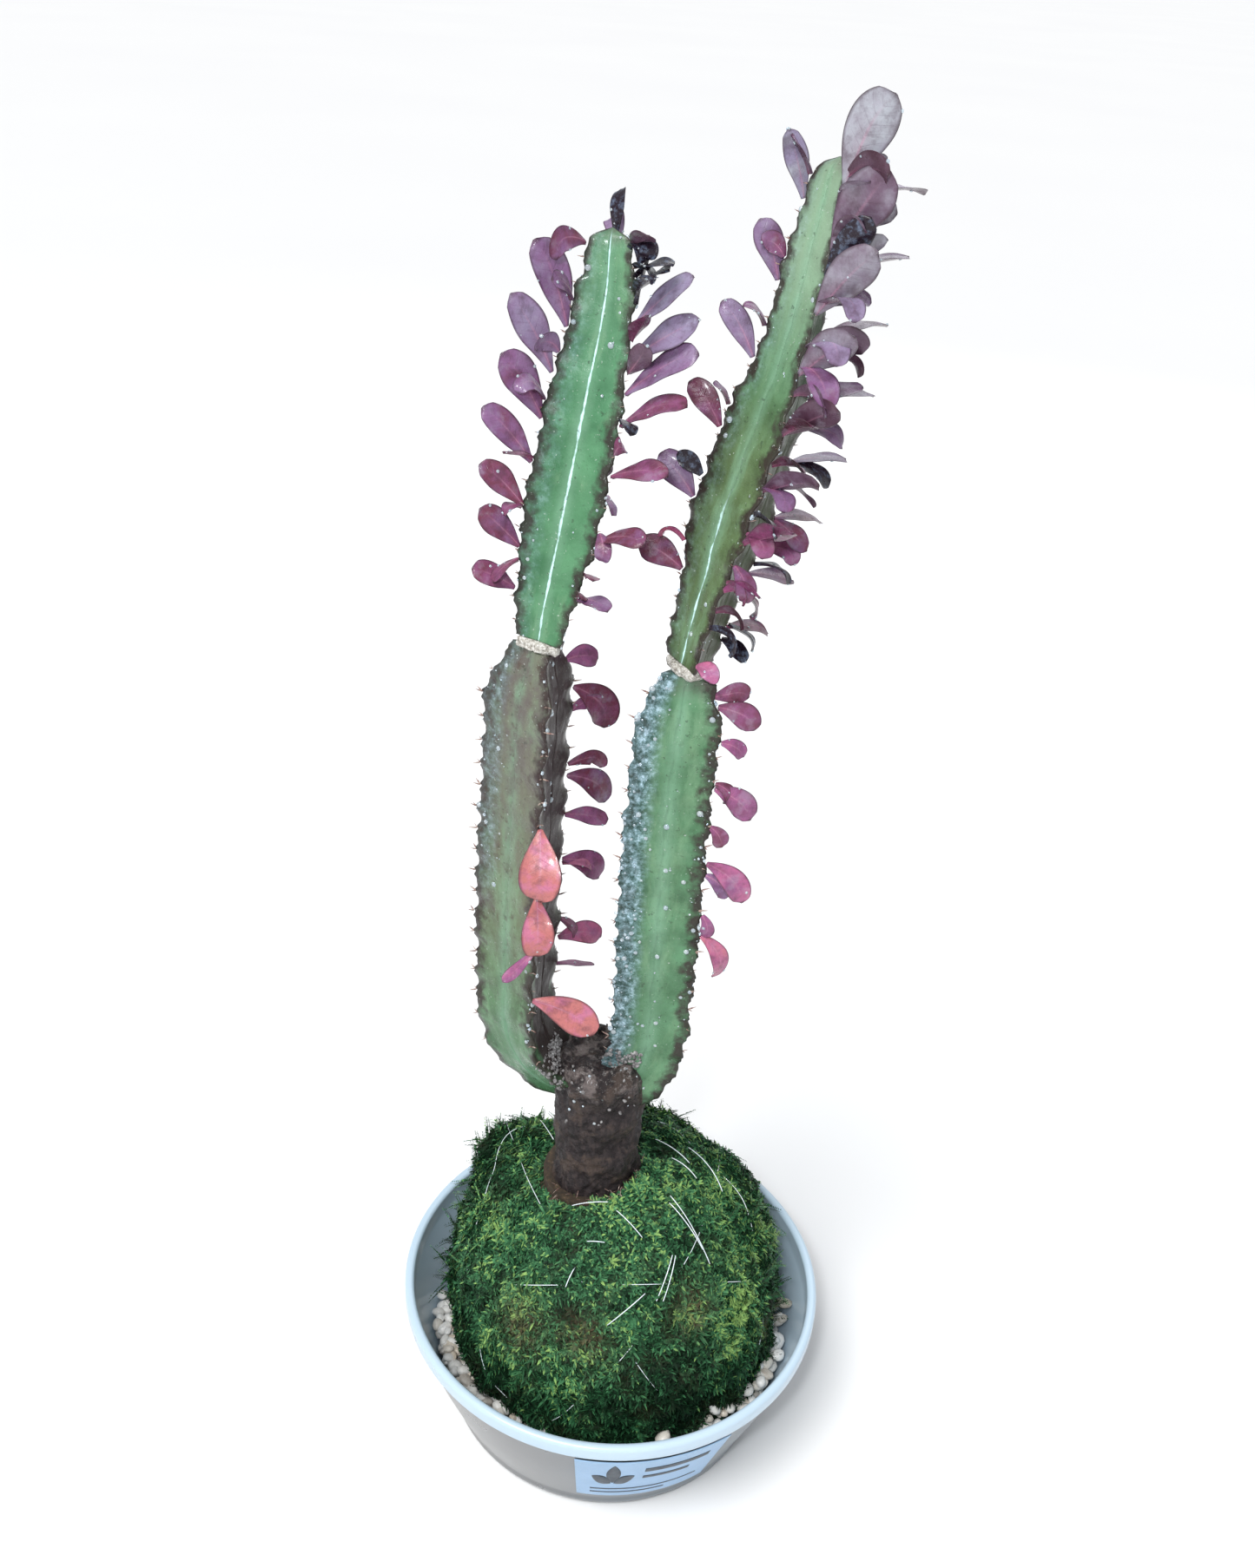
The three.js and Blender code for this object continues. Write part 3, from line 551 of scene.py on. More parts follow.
def stem_finish():
    """Green or olive faces with feathery streaks that rise to the edges, a painted highlight as a pale line
    down the front face's fold, painted shade on the right face (on the left lower stem partly its own dark
    brown), a wet left rib, darker and with pale blue-grey painted glints of its drops, and thin brown margins."""
    f = Finish("stem skin")
    edge, old, fold = f.mark("edge"), f.mark("old"), f.mark("fold")
    rise = f.add("ShaderNodeCombineXYZ", {0: f.times(edge, 0.5), 1: f.mark("climb"), 2: f.mark("stem")})
    feather = f.noise(0.42 / MM, 5, 0.65, rise.outputs[0])
    cloud = f.noise(8, 4)
    green = f.ramp(cloud, [(0.3, (0.042, 0.145, 0.066)), (0.7, (0.092, 0.25, 0.128))])
    olive = f.ramp(cloud, [(0.3, (0.055, 0.1, 0.035)), (0.7, (0.12, 0.2, 0.085))])
    young = f.blend(f.mark("olive"), green, olive)
    aged = f.ramp(cloud, [(0.3, (0.1, 0.082, 0.055)), (0.5, (0.13, 0.14, 0.085)), (0.7, (0.14, 0.18, 0.11))])
    colour = f.blend(old, young, aged)
    colour = f.blend(f.mark("pale"), colour, (0.36, 0.47, 0.34))
    colour = f.blend(f.range(feather, 0.5, 0.64, 0.0, 0.5), colour, (0.19, 0.33, 0.19))
    patches = f.range(f.noise(13, 3), 0.3, 0.6, 0.25, 0.9)
    colour = f.blend(f.times(f.range(fold, 0.5, 0.1, 0.0, 0.6), patches), colour, (0.2, 0.37, 0.25))
    # Painted highlight: a thin pale cyan line down the fold of the front face, where the crease catches the
    # light.
    wander = f.plus(fold, f.over(f.noise(2.4, 2), -0.03, 0.03))
    line = f.times(f.range(wander, 0.07, 0.02), f.mark("line"))
    colour = f.blend(line, colour, (0.6, 0.86, 0.84))
    colour = f.blend(f.times(f.mark("worn"), f.range(f.noise(5, 5, 0.65), 0.34, 0.6, 0.25, 0.95)), colour,
                     (0.115, 0.1, 0.09))
    # Painted shade on the right face (on the left lower stem partly its own dark brown).
    colour = f.blend(f.mark("shade"), colour, (0.03, 0.016, 0.018))
    # The wet left rib: darker where wet, with pale blue-grey painted glints of its water drops.
    wet_and_glints = f.ramp(f.noise(1.8, 5, 0.7), [(0.4, (0.03, 0.07, 0.062)), (0.54, (0.15, 0.245, 0.265)),
                                          (0.66, (0.42, 0.57, 0.66))])
    colour = f.blend(f.mark("wet"), colour, wet_and_glints)
    flush = f.plus(edge, f.over(f.noise(3, 4), -0.1, 0.1))
    margin = f.times(f.range(flush, 0.8, 0.96, 0.0, 0.9), f.range(f.mark("wet"), 0.2, 0.9, 1.0, 0.3))
    colour = f.blend(margin, colour, (0.03, 0.016, 0.018))
    colour = f.blend(f.times(old, f.range(f.noise(3, 5, 0.7), 0.55, 0.7, 0.0, 0.7)), colour,
                     (0.07, 0.045, 0.035))
    colour = f.blend(f.range(f.noise(1.4, 4), 0.64, 0.7, 0.0, 0.55), colour, (0.03, 0.045, 0.03))
    colour = f.blend(f.range(f.noise(0.8, 3), 0.67, 0.73, 0.0, 0.6), colour, (0.5, 0.55, 0.5))
    roughness = f.plus(f.over(f.noise(3.5, 4), 0.2, 0.42), f.times(f.mark("shade"), 0.3))
    height = f.plus(f.noise(1.7, 5, 0.65), f.times(feather, 0.7))
    return f.finish(colour, roughness, f.bump(height, 0.5, 0.45), Specular_IOR_Level=0.22, Coat_Weight=0.1,
                    Coat_Roughness=0.1)


def cork_finish():
    """Pale crust with dark pits."""
    return grain_finish("crusty cork", (0.9, 5, 0.75), [(0.32, (0.09, 0.07, 0.06)),
                        (0.46, (0.44, 0.41, 0.36)), (0.62, (0.76, 0.74, 0.7))], (0.6, 0.9), (0.9, 0.5))


def grit_finish():
    """Grey crumbs, darker where they are damp."""
    return grain_finish("damp grit", (1.3, 5, 0.75), [(0.35, (0.07, 0.06, 0.06)),
                        (0.52, (0.22, 0.21, 0.21)), (0.68, (0.55, 0.54, 0.53))], (0.3, 0.8), (0.8, 0.3))


def spine_finish():
    """Reddish brown to dull tan."""
    return cloud_finish("spines", ((0.9,), (0.6,), (0.3,)), [(0.35, (0.16, 0.05, 0.04)),
                        (0.65, (0.5, 0.4, 0.34))], (0.3, 0.55), (0.3, 0.03))


def water_finish():
    """Water, very smooth and faintly blue, only partly clear: painted a pale bluish white so that the drops
    show as painted glints.
    """
    return cloud_finish("water drops", ((4,), (2,), (1.5,)), [(0.3, (0.7, 0.84, 0.95)),
                        (0.7, (0.9, 0.97, 1.0))], (0.0, 0.04), (0.05, 0.02),
                        Transmission_Weight=0.6, IOR=1.4, Coat_Weight=0.6)


def leaf_finish():
    """Pale slate to coral by tone, with a soft pink midrib, dark margins and a dark purple underside."""
    f = Finish("leaf skin")
    across = f.mark("across")
    along = f.mark("along")
    under = f.mark("under")
    tone = f.plus(f.mark("tone"), f.over(f.noise(5, 3), -0.08, 0.08))
    upper = f.ramp(tone, [(0.0, (0.38, 0.4, 0.43)), (0.2, (0.26, 0.22, 0.33)), (0.48, (0.2, 0.09, 0.2)),
                          (0.6, (0.15, 0.035, 0.065)), (0.74, (0.26, 0.085, 0.2)), (0.85, (0.43, 0.12, 0.24)),
                          (0.94, (0.5, 0.155, 0.24)), (1.0, (0.46, 0.15, 0.145))])
    below = f.ramp(tone, [(0.0, (0.38, 0.39, 0.43)), (0.3, (0.14, 0.085, 0.13)), (0.6, (0.05, 0.012, 0.022)),
                          (0.8, (0.28, 0.06, 0.17)), (1.0, (0.5, 0.1, 0.16))])
    colour = f.blend(under, upper, below)
    off = f.math("ABSOLUTE", across)
    pink = f.times(f.range(off, 0.5, 0.0, 0.0, 0.6), f.range(along, 0.6, 0.05, 0.0, 1.0))
    pink = f.times(pink, f.range(tone, 0.0, 0.5, 0.3, 1.0))
    colour = f.blend(pink, colour, (0.36, 0.1, 0.19))
    rib = f.times(f.range(off, 0.09, 0.02), f.range(along, 0.9, 0.3, 0.0, 0.45))
    colour = f.blend(rib, colour, (0.5, 0.24, 0.34))
    veins = f.math("PINGPONG", f.math("SUBTRACT", f.times(along, 9.0), f.times(off, 1.4)), 0.5)
    vein = f.times(f.range(veins, 0.42, 0.5), f.range(off, 0.9, 0.2, 0.1, 0.5))
    colour = f.blend(f.times(vein, 0.4), colour, (0.09, 0.04, 0.07))
    margin = f.math("MAXIMUM", f.range(off, 0.84, 1.0), f.range(along, 0.94, 1.0))
    colour = f.blend(f.times(margin, 0.8), colour, (0.035, 0.012, 0.018))
    mottle = f.noise(1.6, 5, 0.7)
    colour = f.blend(f.range(mottle, 0.5, 0.7, 0.0, 0.3), colour, (0.075, 0.035, 0.05))
    cloudy = f.noise(4.5, 4, 0.6)
    colour = f.blend(f.range(cloudy, 0.52, 0.66, 0.0, 0.45), colour, (0.05, 0.018, 0.032))
    sheen = f.times(f.range(cloudy, 0.46, 0.34, 0.0, 0.25), f.range(tone, 0.98, 0.8))
    colour = f.blend(sheen, colour, (0.36, 0.32, 0.4))
    # Nearly black leaves: dark leaves at the left upper stem's tip, elsewhere dark leaves put as painted shade
    # between the leaves, all with painted glints.
    glints = f.ramp(mottle, [(0.5, (0.014, 0.007, 0.014)), (0.7, (0.12, 0.15, 0.22))])
    colour = f.blend(f.mark("dark"), colour, glints)
    height = f.plus(f.times(vein, -0.6), mottle)
    roughness = f.over(mottle, 0.2, 0.42)
    return f.finish(colour, roughness, f.bump(height, 0.4, 0.3), Specular_IOR_Level=0.3, Coat_Weight=0.15,
                    Coat_Roughness=0.12)


def floor_finish():
    """An almost even, pale floor."""
    return cloud_finish("pale floor", ((900, 1), (60,), (3,)), [(0.3, (0.885, 0.885, 0.89)),
                        (0.7, (0.9, 0.9, 0.9))], (0.8, 0.9), (0.05, 0.05), Specular_IOR_Level=0.1)


# ---- Bowl, label and pebbles ----------------------------------------------------------------------------

LIP_FOOT = BOWL["height"] - BOWL["lip"]
FOOT_TOP = BOWL["foot"] + BOWL["rounding"] * 0.62


def outer_radius(z):
    """A quarter turn at the foot, then a straight taper with a slight bow up to the lip."""
    z = np.asarray(z, float)
    turn = np.arccos(np.clip(1 - z / BOWL["rounding"], -1, 1))
    low = mix(BOWL["foot"], FOOT_TOP, np.sin(np.minimum(turn, math.pi / 2)))
    share = np.clip((z - BOWL["rounding"]) / (LIP_FOOT - BOWL["rounding"]), 0, 1)
    wall = mix(FOOT_TOP, BOWL["rim"] - BOWL["proud"], share)
    return np.where(z < BOWL["rounding"], low, wall)


def make_bowl(finish):
    """The wall's outside, a rolled lip as half an oval, and the inside at one wall's distance."""
    up = np.linspace(0, LIP_FOOT, 40)
    bow = 0.5 * np.sin(np.pi * np.clip((up - BOWL["rounding"]) / (LIP_FOOT - BOWL["rounding"]), 0, 1))
    outside = np.stack([outer_radius(up) + bow, up], 1)
    fillet = np.linspace(0, math.pi / 2, 6)[1:]
    outwards = BOWL["rim"] - BOWL["proud"] * (1 - np.sin(fillet))
    under_lip = np.stack([outwards, LIP_FOOT + 0.9 * (1 - np.cos(fillet))], 1)
    inside_rim = outer_radius(LIP_FOOT) - BOWL["wall"]
    half = (BOWL["rim"] - inside_rim) / 2
    over = np.linspace(0, math.pi, 15)
    top = np.stack([BOWL["rim"] - half + half * np.cos(over), BOWL["height"] - 1.3 + 1.3 * np.sin(over)], 1)
    down = np.linspace(LIP_FOOT, BOWL["floor"] + 5, 24)
    inside = np.stack([outer_radius(down) - BOWL["wall"], down], 1)
    corner = np.linspace(0, math.pi / 2, 10)[1:]
    edge = inside[-1, 0]
    hollow = np.stack([edge - 5 * (1 - np.cos(corner)), BOWL["floor"] + 5 * (1 - np.sin(corner))], 1)
    ends = np.array([[0, 0.0]]), np.array([[BOWL["foot"] - 2, 0.0]]), np.array([[0, BOWL["floor"]]])
    profile = np.vstack([ends[0], ends[1], outside, under_lip, top, inside, hollow, ends[2]])
    points, faces = lathe(profile, 192)
    radius = np.hypot(points[:, 0], points[:, 1])
    # The outside wall, painted darker than the inside as painted shade.
    shaded_outside = (radius > outer_radius(points[:, 2]) - 0.9) & (points[:, 2] < LIP_FOOT + 0.2)
    piece("bowl_shell", points, faces, finish, ["bowl"], "bowl_plastic", {"shaded_outside": shaded_outside.astype(float)})


def on_wall(azimuth, z, out):
    """A place on the bowl's wall at an angle in radians and a height, a little way out."""
    return polar(outer_radius(z) + out, azimuth, z)


def make_label(paper, ink):
    """A sheet bent round the wall with one lifted corner, and a leaf mark and plain rules printed on it."""
    top = LIP_FOOT - LABEL["below_lip"]
    bottom = top - LABEL["height"]
    half = LABEL["width"] / 2 / float(outer_radius((top + bottom) / 2))
    middle = math.radians(LABEL["azimuth"])
    across, height = np.meshgrid(np.linspace(-1, 1, 49), np.linspace(0, 1, 25))
    lift = 1.1 * smooth(across - height, 1.45, 2.1)
    azimuth = middle + half * across
    z = mix(bottom, top, height)
    points, faces = slab(on_wall(azimuth, z, GAP + 0.75 + lift), on_wall(azimuth, z, GAP + 0.45 + lift))
    piece("label_sheet", points, faces, paper, ["label"], "label_paper")

    def printed(name, a, b):
        """A thin printed shape; a runs across the label from -1 to 1 and b up it from 0 to 1."""
        spot = middle + half * a
        level = mix(bottom, top, b)
        made, around = slab(on_wall(spot, level, GAP + 0.83), on_wall(spot, level, GAP + 0.73))
        piece(name, made, around, ink, slot="label_paper")

    side, run = np.meshgrid(np.linspace(-1, 1, 5), np.linspace(0, 1, 25))
    for index, (level, low, high, thick) in enumerate(((0.74, -0.1, 0.78, 0.05), (0.54, -0.1, 0.55, 0.035),
                                                       (0.22, -0.8, 0.78, 0.014), (0.12, -0.8, 0.3, 0.014))):
        printed(f"label_rule_{index + 1}", mix(low, high, run), level + thick * side)
    for index, (lean, length) in enumerate(((0.0, 0.5), (1.05, 0.42), (-1.05, 0.42))):
        wide = 0.26 * length * np.sin(np.pi * run) ** 0.8 * side
        a = 0.72 * ((length * run + 0.03) * math.sin(lean) + wide * math.cos(lean)) - 0.5
        b = 0.38 + (length * run + 0.03) * math.cos(lean) - wide * math.sin(lean)
        printed(f"label_leaf_{index + 1}", a, b)


def make_pebbles(finish, random):
    """Dented, flattened balls in loose layers round the ball, heaped at the wall at the left and right."""
    top = BOWL["floor"] + BED_DEPTH
    spread, heaped = PEBBLES["spread"], PEBBLES["heaped"]
    count = spread + heaped
    size = random.uniform(1.5, 3.0, count) * random.uniform(0.8, 1.15, count)
    left = random.uniform(0, 1, heaped) < 0.5
    low = random.uniform(-0.5, 4.5, spread)
    layer = np.concatenate([low, np.where(left, 11, 17) * random.uniform(0, 1, heaped) ** 1.2])
    side = np.where(left, math.radians(203), math.radians(-22))
    angle = np.concatenate([random.uniform(0, TURN, spread), side + random.normal(0, 0.38, heaped)])
    height = top + layer
    wall = outer_radius(height) - BOWL["wall"] - size
    inner = np.where(np.arange(count) < spread, 38, 52)
    radius = np.sqrt(mix(inner ** 2, wall ** 2, random.uniform(0, 1, count)))
    places = polar(radius, angle, height)
    sideways, forwards = random.normal(0, 0.35, count), random.normal(0, 0.35, count)
    normals = unit(np.stack([sideways, forwards, np.ones(count)], 1))
    wide, tall = size * random.uniform(0.75, 1, count), size * random.uniform(0.5, 0.8, count)
    three = np.stack([size * 1.15, wide, tall], 1)
    points, faces, step = scattered(globe(10, 6), places, normals, three, random, 0.16)
    kind = np.repeat(random.uniform(0, 1, count) ** 1.5, step)
    piece("pebbles", points, faces, finish, slot="pebbles", marks={"kind": kind})


# ---- Moss, soil and line --------------------------------------------------------------------------------

BALL_RADIUS = float(outer_radius(LIP_FOOT)) - BOWL["wall"] - BALL["clearance"]
CENTRE = np.array([0, 0, BOWL["floor"] + UNDER_BALL + BALL_RADIUS * BALL["squash"]])
BALL_TOP = CENTRE[2] + BALL_RADIUS
TRUNK_TOP = BALL_TOP + TRUNK["above"]
TRUNK_FOOT = BALL_TOP - TRUNK["in_soil"]
COLLAR = TRUNK["radius"] * (1 + TRUNK["ribbing"]) * (1 + TRUNK["bulge"]) + BALL["collar"]


def moss_reach(direction):
    """The distance from the ball's middle to the moss: round above, a fuller oval below, with tufts."""
    level = np.hypot(direction[..., 0], direction[..., 1])
    down = np.maximum(-direction[..., 2], 0)
    power = 2 / BALL["fullness"]
    low = ((level / BALL_RADIUS) ** power + (down / (BALL_RADIUS * BALL["squash"])) ** power) ** (-1 / power)
    reach = np.where(direction[..., 2] >= 0, BALL_RADIUS, low)
    for towards, height, width in TUFTS:
        reach = reach + height * nearness(direction, towards, width)
    x, y, z = (direction[..., k] for k in range(3))
    swell = BALL["swell"] * np.sin(5 * x + 1) * np.sin(6 * y) * np.cos(4 * z)
    return reach + swell * smooth(z, -0.75, 0.25)


def trunk_axis_distance(points):
    """The level distance from the trunk's upright axis."""
    return np.hypot(points[..., 0] - TRUNK["offset"], points[..., 1])


def moss_surface(direction):
    """Moss in lumps of three sizes that sinks towards the soil round the trunk."""
    base = CENTRE + direction * moss_reach(direction)[..., None]
    lumps = 1.4 * rough(base, 10, 40, 2) + 1.3 * rough(base, 3.2, 60, 3)
    points = base + direction * lumps[..., None]
    near = (trunk_axis_distance(points) < 40) & (direction[..., 2] > 0)
    sink = np.where(near, 1 - smooth(trunk_axis_distance(points), COLLAR - 4.5, COLLAR + 0.5), 0)
    points[..., 2] -= sink * BALL["soil_below"] * 0.9
    return points


def moss_colour(points, random, spread):
    """Lighter where tufts stand out and higher up, and darker in dips, as painted light and shade; yellow at
    the right, and brown in a few dry patches.
    """
    direction = unit(points - CENTRE)
    # Painted light and shade: the tone follows the moss's lumps, darker in dips, and rises with height.
    tone = 0.4 + 0.2 * rough(points, 13, 80, 2) + 0.26 * rough(points, 3.2, 60, 3)
    tone += spread * random.normal(0, 1, len(points)) + 0.16 * np.clip(direction[:, 2], -1, 1)
    for towards, width, much in (((0.78, -0.5, 0.38), 0.22, 0.5), ((0.15, -0.6, 0.6), 0.4, -0.06),
                                 ((0.75, -0.1, 0.62), 0.3, 0.15), ((0.45, -0.85, 0.2), 0.25, -0.2)):
        tone += much * nearness(direction, towards, width)
    brown = 0.16 * smooth(rough(points, 6, 70, 2), 0.15, 0.7)
    for towards, width in (((-0.5, -0.75, 0.43), 0.17), ((-0.13, -0.86, 0.5), 0.12), ((0.5, -0.7, 0.6), 0.13),
                           ((0.9, -0.35, 0.1), 0.1)):
        brown += 0.75 * nearness(direction, towards, width)
    return np.clip(tone, 0, 1), np.clip(brown * random.uniform(0.2, 1.2, len(points)), 0, 0.9)


def even_directions(count, lowest, random):
    """Random directions spread evenly over a ball above a lowest height."""
    z = random.uniform(lowest, 1, count)
    angle = random.uniform(0, TURN, count)
    return polar(np.sqrt(1 - z * z), angle, z)


def blades(base, along, wide, length, width, droop, steps):
    """Thin leaf-shaped strips: each runs along its direction and sinks with the square of the way."""
    share = np.linspace(0, 1, steps + 1)
    middle = (base[:, None] + along[:, None] * (length[:, None] * share)[..., None]
              + np.array([0, 0, -1.0]) * (droop[:, None] * share ** 2)[..., None])
    half = width[:, None] * np.sin(np.pi * (0.12 + 0.86 * share)) ** 0.8 / 2
    left = middle + wide[:, None] * half[..., None]
    right = middle - wide[:, None] * half[..., None]
    points = np.stack([left, right], 2).reshape(len(base), -1, 3)
    row = np.arange(steps) * 2
    face = np.stack([row, row + 1, row + 3, row + 2], 1)
    return points.reshape(-1, 3), many(points[0], [face], len(base)), points.shape[1]


def make_moss(finish, random):
    """A lumpy body, tens of thousands of short leaflets all over it, and feathery shoots that stand out."""
    rows, around = ((210, 320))
    lift = np.sin(np.linspace(-1, 1, rows + 2)[1:-1, None] * math.pi / 2)
    direction = polar(np.sqrt(1 - lift * lift), circle(around), lift)
    grid = moss_surface(direction) - direction * 0.8
    points, faces = capped(grid)
    tone, brown = moss_colour(points, random, 0.03)
    marks = {"tone": tone * 0.35, "brown": brown * 0.6}
    piece("moss_body", points, faces, finish, ["moss_wrap"], "moss", marks)

    for batch in range(LEAFLET_BATCHES):
        direction = even_directions(LEAFLETS, -0.62, random)
        base = moss_surface(direction)
        keep = (trunk_axis_distance(base) > COLLAR - 3.6) | (direction[:, 2] < 0)
        direction, base = direction[keep], base[keep]
        first, _ = turned_frames(direction, random)
        steep = random.uniform(-0.05, 0.75, len(base))[:, None]
        along = unit(first + direction * steep + np.array([0, 0, 0.1]))
        wide = unit(np.cross(along, direction))
        length = random.uniform(0.9, 2.5, len(base)) * (1 + 0.6 * smooth(rough(base, 8, 15, 2), 0.1, 0.8))
        width = random.uniform(0.4, 0.9, len(base))
        droop = random.uniform(0, 0.9, len(base))
        points, faces, step = blades(base - direction * 0.5, along, wide, length, width, droop, 3)
        tone, brown = moss_colour(base, random, 0.2)
        tips = np.tile(np.repeat(np.linspace(-0.1, 0.14, 4), 2), len(base))
        marks = {"tone": np.clip(np.repeat(tone, step) + tips, 0, 1), "brown": np.repeat(brown, step)}
        piece(f"moss_leaflets_{batch + 1}", points, faces, finish, slot="moss", marks=marks)
    make_shoots(finish, random)


def make_shoots(finish, random):
    """Feather-like shoots: a bent midline with pairs of leaflets that shorten towards the tip."""
    direction = even_directions(SHOOTS, -0.5, random)
    extra = [np.tile(unit(np.array(towards)), (shoots, 1)) + random.normal(0, spread, (shoots, 3))
             for towards, shoots, spread, _ in SHOOT_GROUPS]
    added = [np.full(shoots, more) for _, shoots, _, more in SHOOT_GROUPS]
    longer = np.concatenate([np.zeros(SHOOTS)] + added)
    direction = unit(np.vstack([direction] + extra))
    base = moss_surface(direction)
    keep = trunk_axis_distance(base) > COLLAR
    direction, base, longer = direction[keep], base[keep], longer[keep]
    first, _ = turned_frames(direction, random)
    outwards = np.where(longer[:, None] > 0, 1.1, 0.45)
    along = unit(first + direction * outwards)
    side = unit(np.cross(along, direction))
    length = random.uniform(3, 5.5, len(base)) + longer * random.uniform(0.2, 1, len(base))
    droop = np.where(longer > 0, random.uniform(0.2, 2.5, len(base)), 0.4)
    share = np.linspace(0.08, 0.97, SHOOT_PAIRS)
    middle = (base[:, None] + along[:, None] * (length[:, None] * share)[..., None]
              - np.array([0, 0, 1.0]) * (droop[:, None] * share ** 2)[..., None])
    starts, ways = [], []
    for sign in (-1, 1):
        starts.append(middle.reshape(-1, 3))
        raised = direction[:, None] * random.normal(0, 0.25, (1, SHOOT_PAIRS, 1))
        way = along[:, None] * 0.8 + side[:, None] * sign + raised
        ways.append(unit(way).reshape(-1, 3))
    leaf = np.tile(np.repeat(length, SHOOT_PAIRS) * 0.21 * np.tile(1.15 - share, len(base)) + 0.5, 2)
    start, way = np.vstack(starts), np.vstack(ways)
    wide = unit(np.cross(way, np.tile(np.repeat(direction, SHOOT_PAIRS, 0), (2, 1))))
    points, faces, step = blades(start, way, wide, leaf, leaf * 0.34, leaf * 0.1, 2)
    tone, brown = moss_colour(start, random, 0.1)
    marks = {"tone": np.repeat(np.clip(tone + 0.12, 0, 1), step), "brown": np.repeat(brown, step)}
    piece("moss_shoot_leaflets", points, faces, finish, slot="moss", marks=marks)
    thin = np.full(len(base), 0.3)
    points, faces, _ = blades(base - direction, along, side, length * 1.02 + 1, thin, droop, 6)
    marks = {"tone": np.full(len(points), 0.45), "brown": np.full(len(points), 0.35)}
    piece("moss_shoot_stalks", points, faces, finish, slot="moss", marks=marks)


def round_ball(radius, angle):
    """Places on an even ball, at a radius and an angle round the trunk's axis."""
    places = polar(radius, angle, 0.0, TRUNK["offset"])
    places[:, 2] = CENTRE[2] + np.sqrt(BALL_RADIUS ** 2 - places[:, 0] ** 2 - places[:, 1] ** 2)
    return places


def make_soil(finish, random):
    """Crumbs of soil that show in the gap between moss and trunk at the left and right."""
    count = 300
    angle = np.where(random.uniform(0, 1, count) < 0.5, math.radians(205), math.radians(-20))
    angle = angle + random.normal(0, 0.4, count)
    radius = random.uniform(TRUNK["radius"] - 0.5, COLLAR + 0.6, count)
    places = round_ball(radius, angle)
    places[:, 2] -= random.uniform(1.8, 3.4, count)
    size = random.uniform(0.4, 1.2, count)
    normals = unit(random.normal(0, 1, (count, 3)) + [0, 0, 1])
    three = size[:, None] * random.uniform(0.7, 1.2, (count, 3))
    points, faces, _ = scattered(globe(8, 5), places, normals, three, random, 0.3)
    piece("soil_crumbs", points, faces, finish, slot="soil")


def make_fibres(finish, random):
    """Dull threads that lie round the trunk's foot."""
    count = 90
    angle = random.uniform(0, TURN, count)
    radius = TRUNK["radius"] + random.uniform(0.2, 3.2, count)
    base = round_ball(radius, angle)
    base[:, 2] += random.uniform(-1, 1.5, count)
    along = unit(random.normal(0, 1, (count, 3)) * [1, 1, 0.5])
    wide = unit(np.cross(along, [0, 0, 1.0]))
    length, droop = random.uniform(1.5, 3.6, count), random.uniform(0, 1.5, count)
    points, faces, _ = blades(base, along, wide, length, np.full(count, 0.16), droop, 4)
    piece("foot_fibres", points, faces, finish, slot="bark")


def tube(centres, sideways, upwards, radius, around, closed=True):
    """A round tube along rings of centres, with two directions across it at each."""
    angle = circle(around)[:, None]
    ring = sideways[:, None] * np.cos(angle) + upwards[:, None] * np.sin(angle)
    grid = centres[:, None] + ring * radius
    if not closed:
        return capped(grid)
    return grid.reshape(-1, 3), [ring_faces(len(centres), around, closed=True)]


def make_line(finish):
    """Turns of line, each in a tilted plane through the ball's middle, pulled straight over the dips."""
    all_points, all_faces = [], []
    offset = 0
    turns = [(LINE_TILTS[i % 3], 25 + 360 / LINE_TURNS * i) for i in range(LINE_TURNS)]
    for tilt, azimuth in turns:
        tilt, azimuth = math.radians(tilt), math.radians(azimuth)
        axis = polar(math.sin(tilt), azimuth, math.cos(tilt))
        first = unit(np.cross([0, 0, 1], axis))
        second = np.cross(axis, first)
        turn = circle(220)
        direction = np.cos(turn)[:, None] * first + np.sin(turn)[:, None] * second
        reach = moss_reach(direction)
        pulled = np.maximum(reach, (np.roll(reach, 9) + np.roll(reach, -9)) / 2)
        away = pulled - 1.3 + 1.2 * np.sin(turn * 9 + azimuth * 3)
        centres = CENTRE + direction * away[:, None]
        points, faces = tube(centres, np.repeat(axis[None], len(turn), 0), direction, 0.12, 6)
        all_points.append(points)
        all_faces.append(faces[0][:, ::-1] + offset)
        offset += len(points)
    for start, end in BARE_LINE:
        way = np.linspace(0, 1, 14)[:, None]
        direction = unit(mix(unit(np.array(start, float)), unit(np.array(end, float)), way))
        away = moss_reach(direction) + 1.9 - 2.5 * np.abs(way[:, 0] - 0.5) ** 2
        centres = CENTRE + direction * away[:, None]
        across = unit(np.cross(direction[0], centres[-1] - centres[0]))
        points, faces = tube(centres, np.repeat(across[None], 14, 0), direction, 0.16, 6, closed=False)
        all_points.append(points)
        all_faces += [group + offset for group in faces]
        offset += len(points)
    piece("nylon_windings", np.vstack(all_points), all_faces, finish, ["nylon_line"], "nylon")


# ---- Trunk and stems ------------------------------------------------------------------------------------

def trunk_radius(angle, share):
    """A rounded triangle with a few bulges and a worn crown."""
    ribs = 1 + TRUNK["ribbing"] * np.cos(RIBS * angle + 0.7)
    bulge = 1 + TRUNK["bulge"] * (0.6 * np.sin(share * 9) + 0.4 * np.sin(share * 17 + angle))
    return TRUNK["radius"] * ribs * bulge * (1 - TRUNK["crown"] * smooth(share, 0.93, 1))


def on_bark(angle, share):
    """Places on the trunk's smooth side at angles and shares of its height."""
    return polar(trunk_radius(angle, share), angle, mix(TRUNK_FOOT, TRUNK_TOP, share), TRUNK["offset"])


